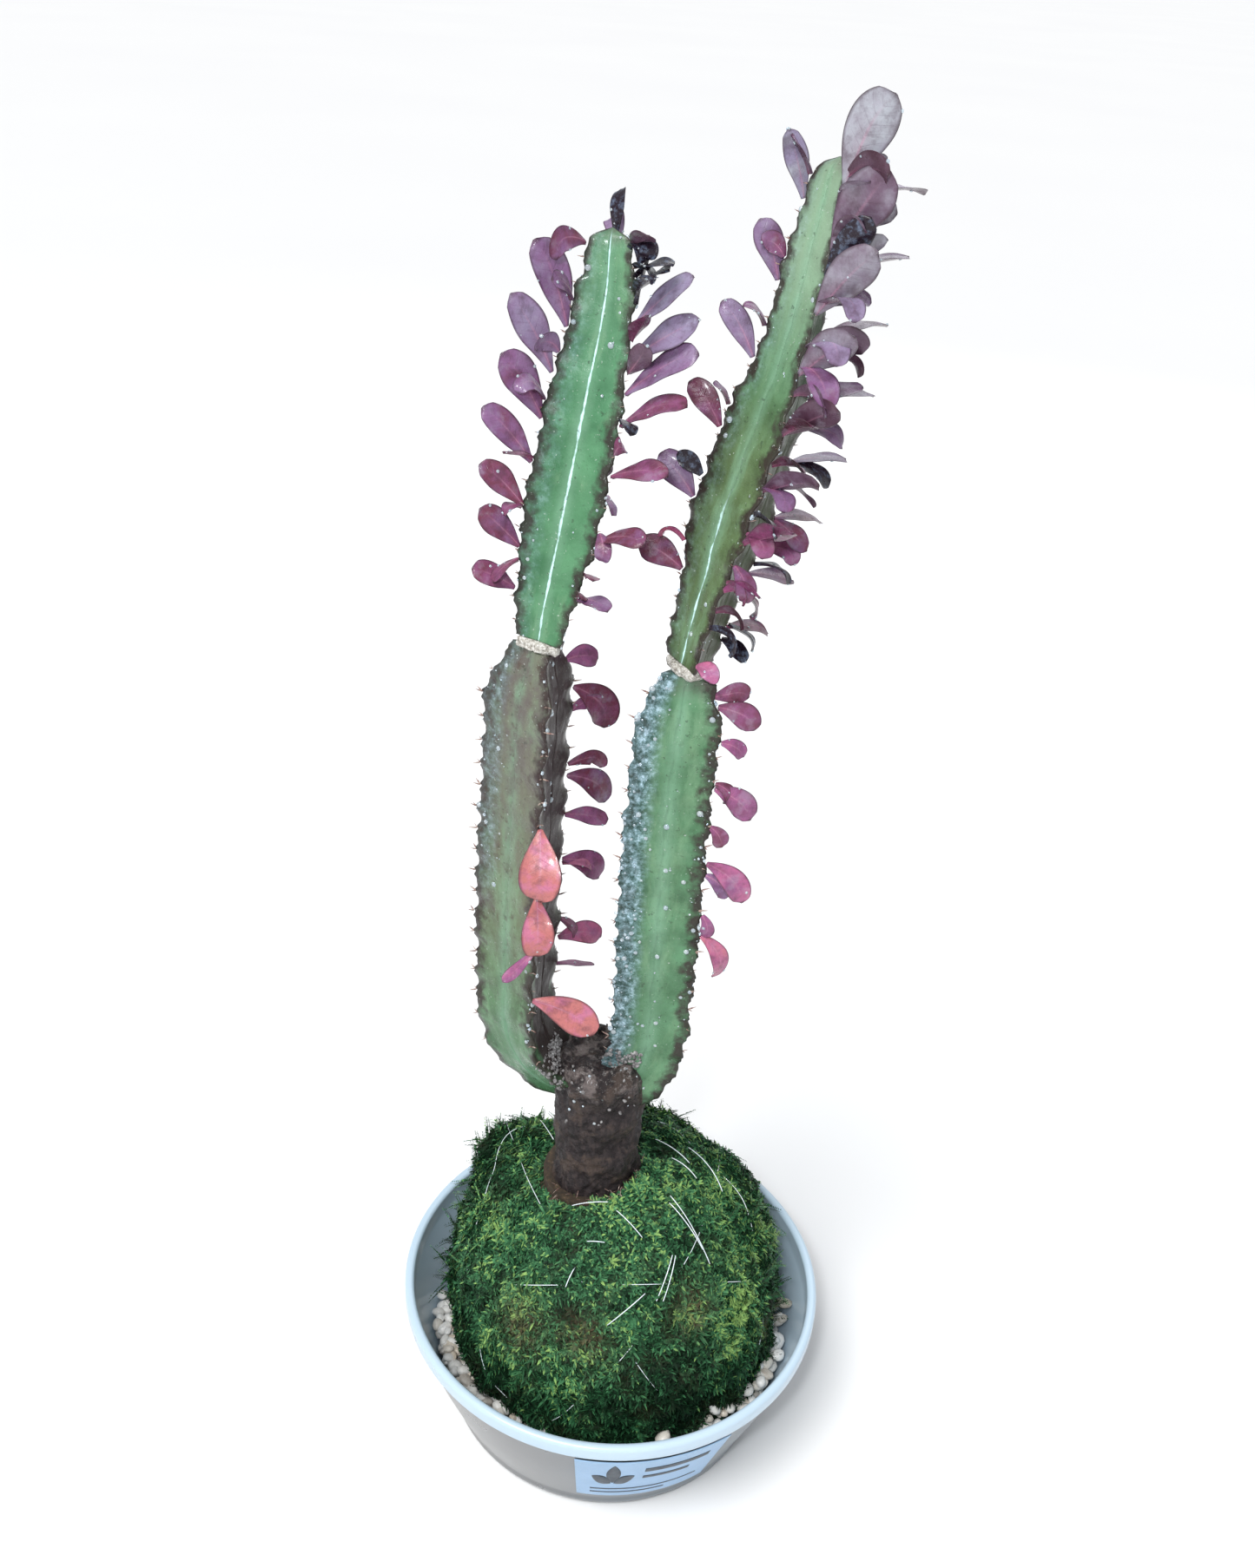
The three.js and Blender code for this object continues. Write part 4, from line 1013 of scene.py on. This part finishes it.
def make_trunk(finish):
    """The trunk's side with rough bark, then its cut top as shrinking rings with a rough, sunken middle."""
    angle = circle(120)
    side = np.linspace(0, 1, 130)[:, None]
    inward = np.linspace(1, 0.05, 26)[1:, None]
    share = np.vstack([side, np.ones_like(inward)])
    shrink = np.vstack([np.ones_like(side), inward])
    radius = trunk_radius(angle, share) * shrink
    z = mix(TRUNK_FOOT, TRUNK_TOP, share) - 1.8 * (1 - shrink) * (shrink < 0.8)
    grid = polar(radius, angle, z, TRUNK["offset"])
    out = polar(1, angle, 0 * z)
    bark = 1.4 * rough(grid * [1, 1, 0.6], 5, 3, 4) + 0.5 * rough(grid, 1.5, 8, 2)
    grid = grid + out * (0.9 * bark * shrink)[..., None]
    grid[len(side):, :, 2] += 1.3 * rough(grid[len(side):], 4, 9, 3)
    points, faces = capped(grid)
    crown = capped_marks(np.clip(smooth(share, 0.8, 1) + 0 * angle, 0, 1))
    piece("trunk_bark", points, faces, finish, ["trunk"], "bark", {"crown": crown})


class Limb:
    """A limb's centre line and its directions, by share of its length from inside the trunk to the tip."""

    def __init__(self, sizes):
        """A smooth curve through a point inside the trunk, the elbow, the lower stem and the leaning tip."""
        self.sizes = sizes
        joint_z = TRUNK_TOP + sizes["lower"]

        def at(share, x, y, z):
            """A point a share of the way from the trunk's axis to the limb's, moved by x and y."""
            return [mix(TRUNK["offset"], TRUNK["offset"] + sizes["side"] * sizes["spread"], share) + x, y, z]

        shift = sizes["joint_shift"]
        points = [at(0.1, 0, 0, TRUNK_TOP + ELBOW["start"]), at(0.62, 0, 0, TRUNK_TOP + ELBOW["turn"]),
                  at(0.97, 0, 0, TRUNK_TOP + ELBOW["up"]), at(1.02, 0, 0, mix(TRUNK_TOP, joint_z, 0.24)),
                  at(1, 0, 0, mix(TRUNK_TOP, joint_z, 0.66)),
                  at(1, shift * 0.42, 0, mix(TRUNK_TOP, joint_z, 0.89)), at(1, shift, 0, joint_z)]
        for height, lean in sizes["lean"]:
            points.append(at(1, shift + sizes["tip"][0] * lean, sizes["tip"][1] * lean,
                             joint_z + sizes["upper"] * height))
        self.centres, self.length = even_curve(np.array(points, float), 3000)
        self.tangents = unit(np.gradient(self.centres, axis=0))
        self.shares = np.linspace(0, 1, len(self.centres))
        joint = float(np.interp(joint_z, self.centres[:, 2], self.shares))
        half, gap = CORK["thickness"] / 2 / self.length, GAP / self.length
        self.cork = (joint - half, joint + half)
        start = [(0, TRUNK["radius"] * 0.84)]
        self.parts = {"lower": (0, joint - half - gap, start + sizes["lower_girth"]),
                      "upper": (joint + half + gap, 1, sizes["upper_girth"])}

    def frame(self, share):
        """The centre, upward, sideways (+X) and forward (-Y) directions at shares of the whole limb."""
        share = np.asarray(share, float)
        centre = np.stack([np.interp(share, self.shares, self.centres[:, k]) for k in range(3)], -1)
        up = unit(np.stack([np.interp(share, self.shares, self.tangents[:, k]) for k in range(3)], -1))
        front = unit(np.array([0, -1.0, 0]) + up * up[..., 1:2])
        return centre, up, np.cross(up, front), front

    def phase(self, part, share):
        """The first rib's angle in radians; the younger growth is slightly twisted."""
        low, joint, tip = self.sizes["phase"]
        return np.radians(low + 0 * share if part == "lower" else mix(joint, tip, share))


def even_curve(points, count):
    """A centripetal Catmull-Rom curve through points, as evenly spaced places, and its length."""
    ends = np.vstack([2 * points[0] - points[1], points, 2 * points[-1] - points[-2]])
    gaps = np.sqrt(np.linalg.norm(np.diff(ends, axis=0), axis=1))
    way = np.linspace(0, 1, 200, endpoint=False)[:, None]
    stretches = []
    for i in range(len(points) - 1):
        x0, x1, x2, x3 = ends[i:i + 4]
        d0, d1, d2 = gaps[i:i + 3]
        leave = d1 * ((x1 - x0) / d0 - (x2 - x0) / (d0 + d1) + (x2 - x1) / d1)
        arrive = d1 * ((x2 - x1) / d1 - (x3 - x1) / (d1 + d2) + (x3 - x2) / d2)
        stretches.append(x1 + leave * way + (-3 * x1 + 3 * x2 - 2 * leave - arrive) * way ** 2
                         + (2 * x1 - 2 * x2 + leave + arrive) * way ** 3)
    fine = np.vstack(stretches + [points[-1:]])
    run = np.concatenate([[0], np.cumsum(np.linalg.norm(np.diff(fine, axis=0), axis=1))])
    even = np.linspace(0, run[-1], count)
    return np.stack([np.interp(even, run, fine[:, k]) for k in range(3)], 1), run[-1]


def ribbed(angle):
    """Distance from the axis to a three-ribbed outline: 1 at the ribs and 0.46 in the middle of a face."""
    face = TURN / RIBS
    from_face = np.mod(angle, face) - face / 2
    return 0.5 / np.cos(from_face) * (1 - 0.08 * np.cos(1.5 * from_face))


def out_from(side, front, angle):
    """The direction from a limb's axis at an angle: 0 is sideways and -90 degrees is forward."""
    return side * np.cos(angle)[..., None] - front * np.sin(angle)[..., None]


def stem_surface(limb, part, share, angle, teeth):
    """A rib wanders and swells into a tooth at even steps, and the faces keep a fold down the middle."""
    start, end, girth = limb.parts[part]
    centre, _, side, front = limb.frame(mix(start, end, share))
    climb = mix(start, end, share) * limb.length
    spacing, height, wander = teeth
    turned = angle - limb.phase(part, share)
    rib_number = np.round(turned / (TURN / RIBS))
    steps = climb / spacing + rib_number * 0.37
    step, tooth_number = np.mod(steps, 1), np.floor(steps)
    uneven = 1 + 0.45 * np.sin(tooth_number * 2.4 + rib_number * 5) + 0.25 * np.sin(tooth_number * 5.1)
    tooth = np.sin(np.pi * step ** 1.25) ** 1.3 * uneven
    shifted = turned - wander * np.sin(TURN * (climb / spacing * 0.5 + rib_number * 0.29))
    off = np.abs(shifted - rib_number * TURN / RIBS)
    near_rib = np.exp(-(off / 0.17) ** 2)
    to_fold = np.abs(off - TURN / RIBS / 2)
    radius = stepped(girth, share) * ribbed(shifted)
    radius = radius - 0.35 * np.exp(-(to_fold / 0.06) ** 2)
    radius = radius + near_rib * height * (tooth - 0.35)
    closing = np.sqrt(np.clip(1 - smooth(share, 0.972, 1.0) ** 2, 0.0009, 1)) if part == "upper" else 1
    place = centre + out_from(side, front, angle) * (radius * closing)[..., None]
    return place, np.clip(to_fold / (TURN / RIBS / 2), 0, 1), climb


TEETH = {"lower": (7.2, 0.8, 0.05), "upper": (6.2, 0.75, 0.05)}

# For each stem: how old its skin is, how much painted shade darkens its right face, how wet its left rib is
# (with its painted glints), how far the painted highlight, a pale line on its front face, runs and how olive
# its green is at the foot.
SKIN = {
    ("left", "lower"): (1.0, 0.97, 0.45, -1.0, 0.3), ("right", "lower"): (0.2, 0.8, 1.0, -1.0, 0.0),
    ("left", "upper"): (0.0, 0.65, 0.25, 0.95, 0.1), ("right", "upper"): (0.2, 0.65, 0.2, 0.28, 1.0),
}


def make_stems(limbs, finish):
    """The four stems with rough skin and the marks that their colours follow."""
    for (name, part), (old, dark, wet, glint_line_reach, olive) in SKIN.items():
        limb = limbs[name]
        around, rows = ((150, 420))
        share, angle = ring_grid(rows, around)
        grid, edge, climb = stem_surface(limb, part, share, angle, TEETH[part])
        centre = limb.frame(mix(*limb.parts[part][:2], share))[0]
        skin = rough(grid * [1, 1, 0.6], 4.5, 21, 3)
        grid = grid + unit(grid - centre) * (0.22 * skin)[..., None]
        points, faces = capped(grid)
        turned = np.mod(angle - limb.phase(part, share) + math.pi, TURN) - math.pi
        left_rib = np.abs(np.mod(turned + TURN / 3 + math.pi, TURN) - math.pi)
        right_face = smooth(turned, 0.04, 0.2) * (1 - smooth(turned, 1.9, 2.1))
        oldest = old == 1
        ageing = old * (smooth(share, 0.1, 0.6) if oldest else np.ones_like(share))
        glinting_wet = wet * (smooth(share, 0.4, 0.6) if oldest else np.ones_like(share))
        # shade is painted shade on the right face, line a painted highlight down the fold, and wet a wet rib
        # with painted glints.
        marks = {"edge": capped_marks(edge), "climb": capped_marks((climb - 6 * np.abs(edge)) / 60),
                 "old": capped_marks(ageing), "stem": np.full(len(points), len(name) * 3.1 + old),
                 "olive": capped_marks(olive * (1 - smooth(share, 0.4, 0.7))),
                 "pale": capped_marks(0.5 * olive * smooth(share, 0.55, 0.85)),
                 "fold": capped_marks(np.minimum(np.abs(turned + TURN / 6), 1)),
                 "line": capped_marks(1 - smooth(share, glint_line_reach, glint_line_reach + 0.12)),
                 "shade": capped_marks(dark * right_face),
                 "wet": capped_marks(glinting_wet * (1 - smooth(left_rib, 0.12, 0.62))),
                 "worn": capped_marks(smooth(share, 0.45, 0.9) if oldest else 0.8 * smooth(share, 0.95, 1))}
        piece(f"{name}_{part}_ribs", points, faces, finish, [f"{name}_{part}_stem"],
              "old_stem" if part == "lower" else "young_stem", marks)


def make_spines(limbs, finish, random):
    """A pair of short cones at every tooth of every rib."""
    bases, ways, lengths = [], [], []
    for name, part in SKIN:
        limb = limbs[name]
        start, end, _ = limb.parts[part]
        spacing = TEETH[part][0]
        low_share = 0.13 if part == "lower" else 0.03
        for rib in range(RIBS):
            turns = np.arange(math.ceil(limb.length / spacing) + 2) + 0.62 - (rib * 0.37) % 1
            whole = turns * spacing / limb.length
            where = (whole - start) / (end - start)
            where = where[(where > low_share) & (where < 0.97)]
            at_angle = limb.phase(part, where) + rib * TURN / RIBS
            place, _, _ = stem_surface(limb, part, where, at_angle, TEETH[part])
            _, up, side, front = limb.frame(mix(start, end, where))
            out = out_from(side, front, at_angle)
            across = np.cross(up, out)
            for sign in (-1, 1):
                bases.append(place - out * 0.25)
                ways.append(unit(out + across * sign * 0.75 + up * 0.35 + random.normal(0, 0.15, out.shape)))
                lengths.append(random.uniform(1.3, 2.6, len(where)) * (1.15 if part == "lower" else 0.8))
    base, way, length = np.vstack(bases), np.vstack(ways), np.concatenate(lengths)
    cone, faces = globe(6, 5)
    cone = cone * [1, 1, 0.5] + [0, 0, 0.5]
    cone[:, :2] *= (1 - 0.85 * cone[:, 2:])
    three = np.stack([length * 0.13, length * 0.13, length], 1)
    points, faces, _ = scattered((cone, faces), base, way, three, random)
    piece("spines", points, faces, finish, slot="old_stem")


def make_corks(limbs, finish):
    """Crusty rings where the young growth starts, as a lumpy band with a rounded outside."""
    for name, limb in limbs.items():
        share, angle = ring_grid(18, 110, -0.08, 1.08)
        centre, _, side, front = limb.frame(mix(*limb.cork, share))
        outline = mix(ribbed(angle - limb.phase("upper", np.zeros(1))), 0.85, 0.45)
        round_out = np.sqrt(np.clip(1 - (2 * (share - 0.5) / 1.2) ** 2, 0.01, 1))
        radius = (CORK["radius"] + 0.3) * outline * mix(0.84, 1, round_out)
        grid = centre + out_from(side, front, angle) * radius[..., None]
        lumps = 0.55 * rough(grid, 1.6, 33, 3)
        grid = grid + unit(grid - centre) * lumps[..., None]
        grid[..., 2] += 0.4 * rough(grid, 2.6, 35, 2)
        points, faces = capped(grid)
        piece(f"{name}_joint_crust", points, faces, finish, [f"{name}_joint_cork"], "cork")


# ---- Leaves ---------------------------------------------------------------------------------------------

def half_width(share, width):
    """A narrow stalk that widens to the blade, widest near the end, with a blunt tip."""
    blade = np.sin(np.pi * np.minimum(1, share ** 1.35) * 0.93) ** 0.8
    return mix(LEAF["stalk"], width, blade) / 2


def leaf_points(base, up, out, length, width, lift, bend, twist, number, curl=0.0):
    """The midline is an arc from the lift through the bend; a flat oval across it is cupped, folded along
    the midrib and waved towards its margins."""
    rows, around = ((26, 20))
    share, turn = ring_grid(rows, around)
    across = np.cross(out, up)
    across = across / np.linalg.norm(across)
    fine = np.linspace(0, 1, 120)
    turned = lift + bend * fine + curl * smooth(fine, 0.45, 1.0)
    step = length / (len(fine) - 1)
    rise = np.concatenate([[0], np.cumsum(np.cos(turned[:-1]) * step)])
    reach = np.concatenate([[0], np.cumsum(np.sin(turned[:-1]) * step)])
    way = np.interp(share, fine, turned)
    risen, reached = np.interp(share, fine, rise), np.interp(share, fine, reach)
    middle = base + up * risen[..., None] + out * reached[..., None]
    lengthwise = up * np.cos(way)[..., None] + out * np.sin(way)[..., None]
    twisted = twist * (1 + 0.25 * share)
    wide = across * np.cos(twisted)[..., None] - np.cross(lengthwise, across) * np.sin(twisted)[..., None]
    face = np.cross(wide, lengthwise)
    x = -np.cos(turn)
    blunt = np.sqrt(np.clip(1 - smooth(share, 0.9, 1.0) ** 2 * 0.96, 0.03, 1))
    half = half_width(share, width) * blunt
    thick = LEAF["thickness"] * (0.62 - 0.3 * share) * (0.35 + 0.65 * np.exp(-(x / 0.35) ** 2))
    fold = -0.22 * np.exp(-(x / 0.16) ** 2) * (1 - share)
    wave = 0.05 * width * np.abs(x) ** 2 * np.sin(8 * share + number * 2.1 + 1.3 * np.sign(x))
    cup = LEAF["cup"] * half * 4 * (x / 2) ** 2
    height = np.sin(turn) * thick + cup + fold + wave * smooth(share, 0.2, 0.6)
    grid = middle + wide * (x * half)[..., None] + face * height[..., None]
    points, faces = capped(grid)
    marks = {"across": capped_marks(x), "along": capped_marks(share),
             "under": capped_marks((np.sin(turn) < -0.01).astype(float))}
    return points, faces, marks


def make_leaf(name, finish, node, tone, dark, slot, **sizes):
    """A leaf piece that carries its tone and its darkness as one number each."""
    points, faces, marks = leaf_points(**sizes)
    marks["dark"] = np.full(len(points), dark)
    marks["tone"] = np.full(len(points), tone)
    return piece(name, points, faces, finish, [node] if node else (), slot, marks)


def row_leaves(limbs, row):
    """The sizes and places of one row's leaves, each with a little unevenness."""
    name, part, rib, count, start, end, length, width, lift, bend, twist, swing, tone = row[:13]
    limb = limbs[name]
    from_share, to_share, girth = limb.parts[part]
    for index in range(count):
        share = index / max(1, count - 1)
        place = mix(start, end, share)
        centre, up, side, front = limb.frame(mix(from_share, to_share, place))
        angle = float(limb.phase(part, place)) + TURN * rib / RIBS

        def sized(values, use):
            """A size by the leaf's place in its row, made up to a tenth larger or smaller."""
            return mix(*values, share) * (1 + LEAF["uneven_size"] * unevenness(index, rib + use))

        def turned(values, use):
            """An angle by the leaf's place in its row, turned a few degrees either way, in radians."""
            return math.radians(mix(*values, share) + LEAF["uneven_turn"] * unevenness(index, rib + use))

        def towards(at):
            """The direction out from the stem at an angle."""
            return side * math.cos(at) - front * math.sin(at)

        clear = float(stepped(girth, np.array(place))) + GAP
        yield index, dict(
            base=centre + towards(angle) * clear, up=up, out=towards(angle + turned(swing, 13)),
            length=sized(length, 1), width=sized(width, 4), lift=turned(lift, 7), bend=turned(bend, 9),
            twist=turned(twist, 11)), mix(*tone, share)


def make_leaves(limbs, finish, random):
    """A leaf for every leaf solid, and the small ones between them; returns the leaves for the drops."""
    made, numbers = [], {}
    for row in LEAF_ROWS:
        limb, part, rib = row[:3]
        for index, sizes, tone in row_leaves(limbs, row):
            where = f"leaf_{limb}_{part}_{RIB_NAMES[rib]}"
            numbers[where] = numbers.get(where, 0) + 1
            node = f"{where}_{numbers[where]}"
            curl = random.uniform(-0.1, 0.5) if part == "upper" else random.uniform(0.1, 0.8)
            tone = float(np.clip(tone + random.normal(0, 0.08), 0, 1))
            slot = "old_leaf" if part == "lower" else "young_leaf"
            made.append(make_leaf(f"{node}_blade", finish, node, tone, 0.0, slot,
                                  number=index + 10 * rib, curl=curl, **sizes))
    for number, row in enumerate(SMALL_LEAF_ROWS):
        slot = "old_leaf" if row[1] == "lower" else "young_leaf"
        for index, sizes, tone in row_leaves(limbs, row):
            for key, much in (("lift", 0.3), ("bend", 0.4), ("twist", 0.5)):
                sizes[key] += random.normal(0, much)
            sizes["length"] *= random.uniform(0.75, 1.2)
            sizes["base"] = sizes["base"] + sizes["up"] * random.normal(0, 1.2)
            tone = float(np.clip(tone + random.normal(0, 0.12), 0.1, 1))
            # Nearly black small leaves, away from the left upper stem's tip put as painted shade between the
            # leaves.
            dark = float(random.uniform(0, 1) < row[13])
            made.append(make_leaf(f"small_leaf_{number + 1}_{index + 1}", finish, None, tone, dark, slot,
                                  number=index + 3 * number, curl=random.uniform(-0.4, 1.6), **sizes))
    return made


# ---- Water, light and camera ------------------------------------------------------------------------------

LEFT_RIB = -TURN / 3

# Drops on a stem: limb, part, how many, from and to which share, the angle from the first rib, its spread.
DROPS = (
    ("right", "lower", 250, 0.15, 1, LEFT_RIB, 0.2), ("right", "lower", 90, 0.15, 1, 0, 0.08),
    ("right", "lower", 24, 0.15, 1, -1, 0.5), ("left", "lower", 80, 0.5, 1, LEFT_RIB, 0.3),
    ("left", "lower", 50, 0.15, 1, 0, 0.1), ("left", "lower", 20, 0.15, 1, 0.6, 0.5),
    ("left", "upper", 40, 0, 1, 0, 0.25), ("right", "upper", 40, 0, 0.8, 0, 0.3),
    ("left", "upper", 30, 0, 1, LEFT_RIB, 0.12), ("right", "upper", 30, 0, 1, LEFT_RIB, 0.12),
)


def make_drops(limbs, leaves, finish, random):
    """Flattened drops of water on the stems, most of them along the left rib of the right lower stem, a few
    near the trunk's crown and two on every leaf."""
    places, normals, sizes = [], [], []
    for name, part, count, low, high, middle, spread in DROPS:
        limb = limbs[name]
        share = random.uniform(low, high, count)
        around = limb.phase(part, share) + middle + random.normal(0, spread, count)
        place, _, _ = stem_surface(limb, part, share, around, TEETH[part])
        beside, _, _ = stem_surface(limb, part, share, around + 0.03, TEETH[part])
        start, end, _ = limb.parts[part]
        up = limb.frame(mix(start, end, share))[1]
        places.append(place)
        normals.append(unit(np.cross(beside - place, up)))
        sizes.append(0.2 + 0.75 * random.uniform(0, 1, count) ** 3)
    angle, share = random.uniform(0, TURN, 50), 1 - 0.3 * random.uniform(0, 1, 50) ** 1.5
    places.append(on_bark(angle, share))
    normals.append(polar(1, angle, 0))
    sizes.append(random.uniform(0.2, 0.55, 50))
    for leaf in leaves:
        count = len(leaf.data.vertices)
        place, normal = np.empty(count * 3), np.empty(count * 3)
        leaf.data.vertices.foreach_get("co", place)
        leaf.data.vertices.foreach_get("normal", normal)
        chosen = random.integers(count // 5, count - 2, 2)
        places.append(place.reshape(-1, 3)[chosen] / MM)
        normals.append(normal.reshape(-1, 3)[chosen])
        sizes.append(random.uniform(0.2, 0.5, 2))
    size = np.concatenate(sizes)
    three = np.stack([size, size, size * 0.65], 1)
    points, faces, _ = scattered(globe(10, 6), np.vstack(places), np.vstack(normals), three, random)
    piece("water_drops", points, faces, finish, slot="young_stem")


def make_crumbs(limbs, finish, random):
    """Pale gritty crumbs where the limbs leave the trunk's top, and a few down its bark."""
    places, normals = [], []
    for name, low, high in (("left", -80, 20), ("right", -200, -90)):
        limb = limbs[name]
        share = random.uniform(0.03, 0.15, 300)
        around = np.radians(random.uniform(low, high, 300))
        place, _, _ = stem_surface(limb, "lower", share, around, TEETH["lower"])
        centre = limb.frame(mix(*limb.parts["lower"][:2], share))[0]
        places.append(place)
        normals.append(unit(place - centre))
    share = 1 - 0.4 * random.uniform(0, 1, 60) ** 1.6
    angle = random.uniform(0, TURN, 60)
    places.append(on_bark(angle, share))
    normals.append(polar(1, angle, 0))
    place = np.vstack(places)
    size = random.uniform(0.25, 0.8, len(place))
    three = size[:, None] * random.uniform(0.6, 1.2, (len(place), 3))
    points, faces, _ = scattered(globe(8, 5), place, np.vstack(normals), three, random, 0.35)
    piece("bark_crumbs", points, faces, finish, slot="bark")


def look_from(place, pan, down, roll, lens):
    """A camera at a place in metres that faces +Y, then rolls, looks down and pans left by degrees."""
    camera = bpy.data.objects.new("camera", bpy.data.cameras.new("camera"))
    camera.data.lens = lens
    camera.data.sensor_width = 36
    camera.data.clip_start = 0.01
    bpy.context.scene.collection.objects.link(camera)
    turns = ((pan, "Z"), (90 - down, "X"), (roll, "Z"))
    pan_by, tilt_by, roll_by = (Matrix.Rotation(math.radians(angle), 4, axis) for angle, axis in turns)
    camera.matrix_world = Matrix.Translation(place) @ pan_by @ tilt_by @ roll_by
    bpy.context.scene.camera = camera


# Each lamp: its name, kind, place, power, colour and size.
LAMPS = (
    ("sky_light", "SUN", (-0.5, -0.6, 1.5), 2.55, (1, 0.99, 0.98), 0.5),
    ("fill", "AREA", (1.0, -0.7, 0.7), 0.8, (0.93, 0.96, 1), 0.8),
    ("back", "AREA", (0.3, 1.1, 0.9), 3, (0.95, 0.98, 1), 0.8),
    ("flash", "AREA", (-0.04, -0.37, 0.5), 1.0, (0.92, 0.97, 1), 0.035),
)
PLANT_MIDDLE = (0, 0, 0.2)


def light(name, kind, place, power, colour, size):
    """A lamp aimed at the plant's middle; its size is in metres, or in radians for a sun."""
    lamp = bpy.data.objects.new(name, bpy.data.lights.new(name, kind))
    setattr(lamp.data, "angle" if kind == "SUN" else "size", size)
    lamp.data.energy = power
    lamp.data.color = colour
    lamp.location = place
    lamp.rotation_euler = (Vector(PLANT_MIDDLE) - Vector(place)).to_track_quat("-Z", "Y").to_euler()
    bpy.context.scene.collection.objects.link(lamp)


def make_studio(finish):
    """A wide pale floor, a bright sky, soft lamps from the left, right and back, and a small one in front."""
    around = 96
    rings = np.array([0.02, 0.3, 1, 4, 16, 60])[:, None] * 1000
    points = np.vstack([polar(rings, circle(around), -0.05).reshape(-1, 3), [[0, 0, -0.05]]])
    here = np.arange(around)
    inner = np.stack([here, (here + 1) % around, np.full(around, len(points) - 1)], 1)
    faces = ring_faces(len(rings), around)[:, ::-1]
    mesh = bpy.data.meshes.new("floor")
    mesh.from_pydata((points * MM).tolist(), [], faces.tolist() + inner.tolist())
    mesh.materials.append(finish)
    floor = bpy.data.objects.new("floor", mesh)
    bpy.context.scene.collection.objects.link(floor)
    for lamp in LAMPS:
        light(*lamp)
    world = bpy.data.worlds.new("sky")
    world.use_nodes = True
    world.node_tree.nodes["Background"].inputs[0].default_value = (0.93, 0.965, 1, 1)
    world.node_tree.nodes["Background"].inputs[1].default_value = 0.45
    bpy.context.scene.world = world


# ---- The model ----------------------------------------------------------------------------------------

random = np.random.default_rng(2031)
limbs = {name: Limb(sizes) for name, sizes in LIMBS.items()}
make_bowl(bowl_finish())
make_label(paper_finish(), ink_finish())
pebble_skin = pebble_finish()
make_pebbles(pebble_skin, random)
make_moss(moss_finish(), random)
soil_skin = soil_finish()
make_soil(soil_skin, random)
make_fibres(spine_finish(), random)
make_line(line_finish())
make_trunk(bark_finish())
make_stems(limbs, stem_finish())
make_spines(limbs, spine_finish(), random)
make_corks(limbs, cork_finish())
make_crumbs(limbs, grit_finish(), random)
leaves = make_leaves(limbs, leaf_finish(), random)
make_drops(limbs, leaves, water_finish(), random)
for node, skin in (("pebble_bed", pebble_skin), ("soil_ball", soil_skin)):
    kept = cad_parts[node]
    kept.data.materials.clear()
    kept.data.materials.append(skin)

make_studio(floor_finish())
look_from((0, -0.3545, 0.44785), pan=1.023, down=30.038, roll=4.035, lens=33.89)
scene = bpy.context.scene
scene.view_settings.view_transform = "Standard"
